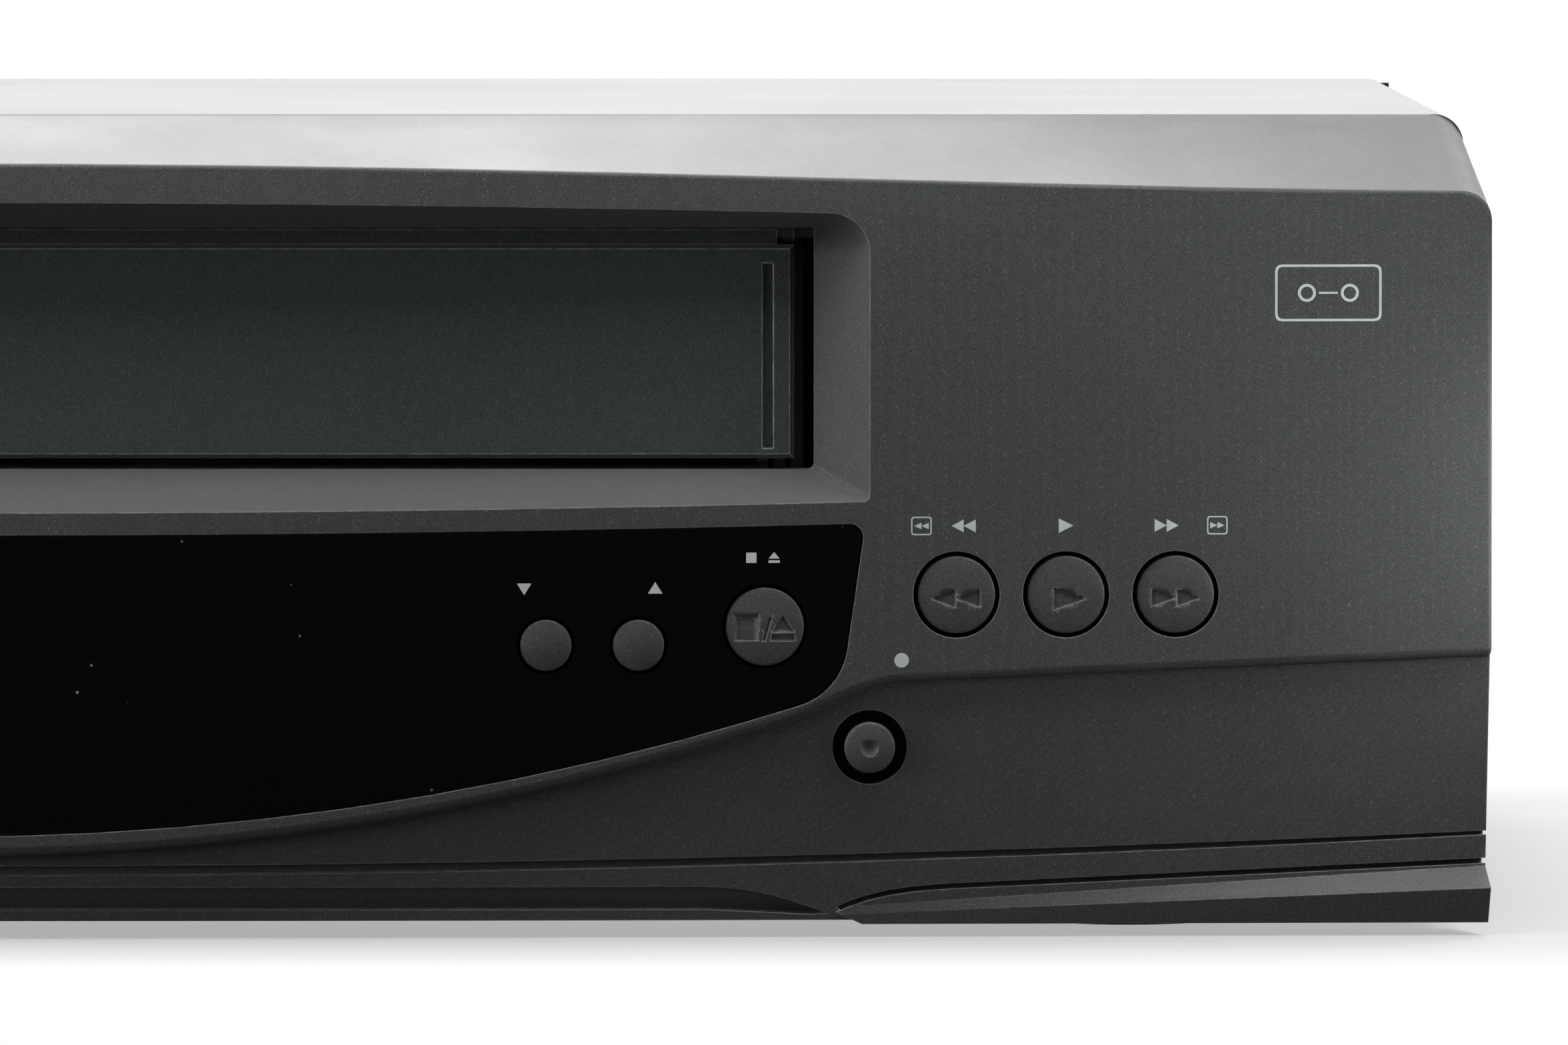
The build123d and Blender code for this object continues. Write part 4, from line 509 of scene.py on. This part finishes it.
def print_symbols():
    """Print the symbols on the face and the window, at places in millimetres."""
    fast_back = [triangle(-1.4, 0.0, 0.75), triangle(0.0, 1.4, 0.75)]
    fast_on = [triangle(0.0, -1.4, 0.75), triangle(1.4, 0.0, 0.75)]
    small_back = [triangle(-0.85, 0.0, 0.38), triangle(0.0, 0.85, 0.38)]
    small_on = [triangle(0.0, -0.85, 0.38), triangle(0.85, 0.0, 0.38)]
    frame_line = line_box(1.2, 1.08, 0.16)
    stop_and_eject = [box(-1.95, -0.75, -0.6, 0.6), box(0.65, 1.95, -0.6, -0.3),
                      [(0.65, -0.1), (1.95, -0.1), (1.3, 0.65)]]
    cassette = line_box(6.2, 3.3, 0.28, 0.8)
    for hub in (-2.5, 2.5):
        cassette += ring(circle(1.05, hub), circle(0.72, hub))
    cassette += [box(-1.1, 1.1, -0.12, 0.12)]
    places = (
        ("search_back", (113.5, 48.0), small_back + frame_line, "front_bezel"),
        ("fast_back", (118.4, 48.0), fast_back, "front_bezel"),
        ("play", (130.2, 48.0), [triangle(0.95, -0.75, 0.85)], "front_bezel"),
        ("fast_on", (142.0, 48.0), fast_on, "front_bezel"),
        ("search_on", (147.9, 48.0), small_on + frame_line, "front_bezel"),
        ("record", (111.2, 32.4), [circle(0.85)], "front_bezel"),
        ("cassette", (160.8, 75.0), cassette, "front_bezel"),
        ("down", (67.4, 40.8), [[(-0.85, 0.6), (0.0, -0.75), (0.85, 0.6)]], "display_window"),
        ("up", (82.6, 40.8), [[(-0.85, -0.6), (0.85, -0.6), (0.0, 0.75)]], "display_window"),
        ("stop_and_eject", (95.1, 44.35), stop_and_eject, "display_window"),
    )
    for name, (x, z), outlines, carrier in places:
        centre = (x * MM, z * MM)
        mark = slab(f"printed_{name}", carrier, centre, outlines, -INK_PROUD, INK_SUNK)
        mark.data.materials.append(INK)
        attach(mark, "chassis")


# ---- camera, lights and floor ----
SCALE = 12.94 / MM                  # pixels of the photograph per metre, at the face
PICTURE = (2352, 1568)
RIGHT_EDGE = 2243                   # pixel column of the face's right end
TABLE_ROW = 1412                    # pixel row of the table under the face
CAMERA_BACK = 2.2                   # metres in front of the face
CAMERA_HEIGHT = 0.135
SENSOR_WIDTH = 36.0                 # millimetres
CLIP = (0.1, 60.0)
FLOOR_SIZE = 60.0
WHITE = grey(1.0)
CASE_MIDDLE = (0, 0, 0.05)          # where a lamp points unless it says otherwise


def turn_to(thing, sight):
    """Turn a camera or lamp so that it looks along a line."""
    thing.rotation_euler = sight.to_track_quat("-Z", "Y").to_euler()


def make_camera():
    aim_x = HALF_WIDTH - (RIGHT_EDGE - PICTURE[0] / 2) / SCALE
    aim_z = (TABLE_ROW - PICTURE[1] / 2) / SCALE
    data = bpy.data.cameras.new("camera")
    camera = add_object("camera", data)
    camera.location = (aim_x, FRONT_Y - CAMERA_BACK, CAMERA_HEIGHT)
    sight = Vector((aim_x, FRONT_Y, aim_z)) - camera.location
    turn_to(camera, sight)
    data.sensor_width = SENSOR_WIDTH
    data.lens = data.sensor_width * sight.length / (PICTURE[0] / SCALE)
    data.clip_start, data.clip_end = CLIP
    bpy.context.scene.camera = camera


def softbox(name, place, size, radiance, target=CASE_MIDDLE):
    """Rectangular lamp of a given brightness per area, aimed at the target."""
    data = bpy.data.lights.new(name, "AREA")
    data.shape = "RECTANGLE"
    data.size, data.size_y = size
    data.energy = radiance * math.pi * size[0] * size[1]
    lamp = add_object(name, data)
    lamp.location = place
    turn_to(lamp, Vector(target) - Vector(place))


def make_lamps():
    softbox("overhead", (0.0, -0.30, 0.75), (1.6, 0.3), 1.1)
    softbox("over_front", (0.0, -0.175, 0.15), (0.6, 0.04), 2.8, (0, -0.135, 0.03))
    softbox("behind", (0.1, 1.9, 2.2), (3.2, 2.6), 3.9)
    softbox("back_low", (0.1, 3.2, 0.9), (4.0, 1.4), 1.9)
    softbox("right_edge", (0.202, -0.170, 0.05), (0.09, 0.036), 2.6, (0.0, -0.160, 0.05))
    softbox("left_low", (-0.9, -1.0, 0.25), (0.6, 0.5), 1.1)
    softbox("left_side", (-1.4, -0.55, 0.25), (1.0, 0.8), 3.8)


def make_world():
    """Plain white to the camera. The light it gives is weak in front and stronger behind."""
    world = bpy.data.worlds.new("world")
    tree = Tree(world, "Generated")
    seen = tree.node("Background", Color=WHITE)
    path = tree.node("LightPath")
    split = tree.node("SeparateXYZ", Vector=tree.place)
    strength = tree.remap(split.outputs["Y"], (-0.3, 0.5), (0.06, 0.5))
    lit = tree.nodes["Background"]
    tree.feed(lit.inputs["Color"], WHITE)
    tree.feed(lit.inputs["Strength"], strength)
    shown = tree.mix_shaders(path.outputs["Is Camera Ray"], lit.outputs["Background"],
                             seen.outputs["Background"])
    tree.feed(tree.nodes["World Output"].inputs["Surface"], shown)
    bpy.context.scene.world = world


def distance_from_case(s, split):
    """Distance over the floor from the case's outline."""
    sides = []
    for axis, half in (("X", cad_box[1].x), ("Y", cad_box[1].y)):
        away = s.math("SUBTRACT", s.math("ABSOLUTE", split.outputs[axis]), half)
        sides.append(s.math("POWER", s.math("MAXIMUM", away, 0.0), 2.0))
    return s.math("SQRT", s.math("ADD", *sides))


def make_floor():
    """Floor that the camera sees lit and shadowed near the object and plain white further out.
    Reflections see it dark in front, where the studio is dark, and pale behind."""
    bpy.ops.mesh.primitive_plane_add(size=FLOOR_SIZE, location=(0, 0, 0))
    floor = bpy.context.object
    floor.name = "floor"
    s = Shader("floor")
    split = s.node("SeparateXYZ", Vector=s.place)
    seen_white = s.remap(distance_from_case(s, split), (0.0, 0.05), (0.42, 1.0))
    strength = s.remap(split.outputs["Y"], (-0.15, 0.05), (0.01, 0.6))
    path = s.node("LightPath")
    s.set(Base_Color=s.mix(path.outputs["Is Camera Ray"], grey(0.12), grey(0.5)), Roughness=0.9)
    share = s.math("MULTIPLY", path.outputs["Is Camera Ray"], seen_white)
    white = s.node("Emission")
    mirrored = s.node("Emission", Strength=strength)
    to_camera = s.mix_shaders(share, s.surface.outputs["BSDF"], white.outputs["Emission"])
    to_gloss = s.mix_shaders(path.outputs["Is Glossy Ray"], to_camera,
                             mirrored.outputs["Emission"])
    s.feed(s.nodes["Material Output"].inputs["Surface"], to_gloss)
    floor.data.materials.append(s.material)


bpy.context.scene.view_settings.view_transform = "Standard"
make_camera()
make_world()
make_floor()
make_lamps()
bpy.context.view_layer.update()
finish_nodes()
mark_keys()
print_symbols()
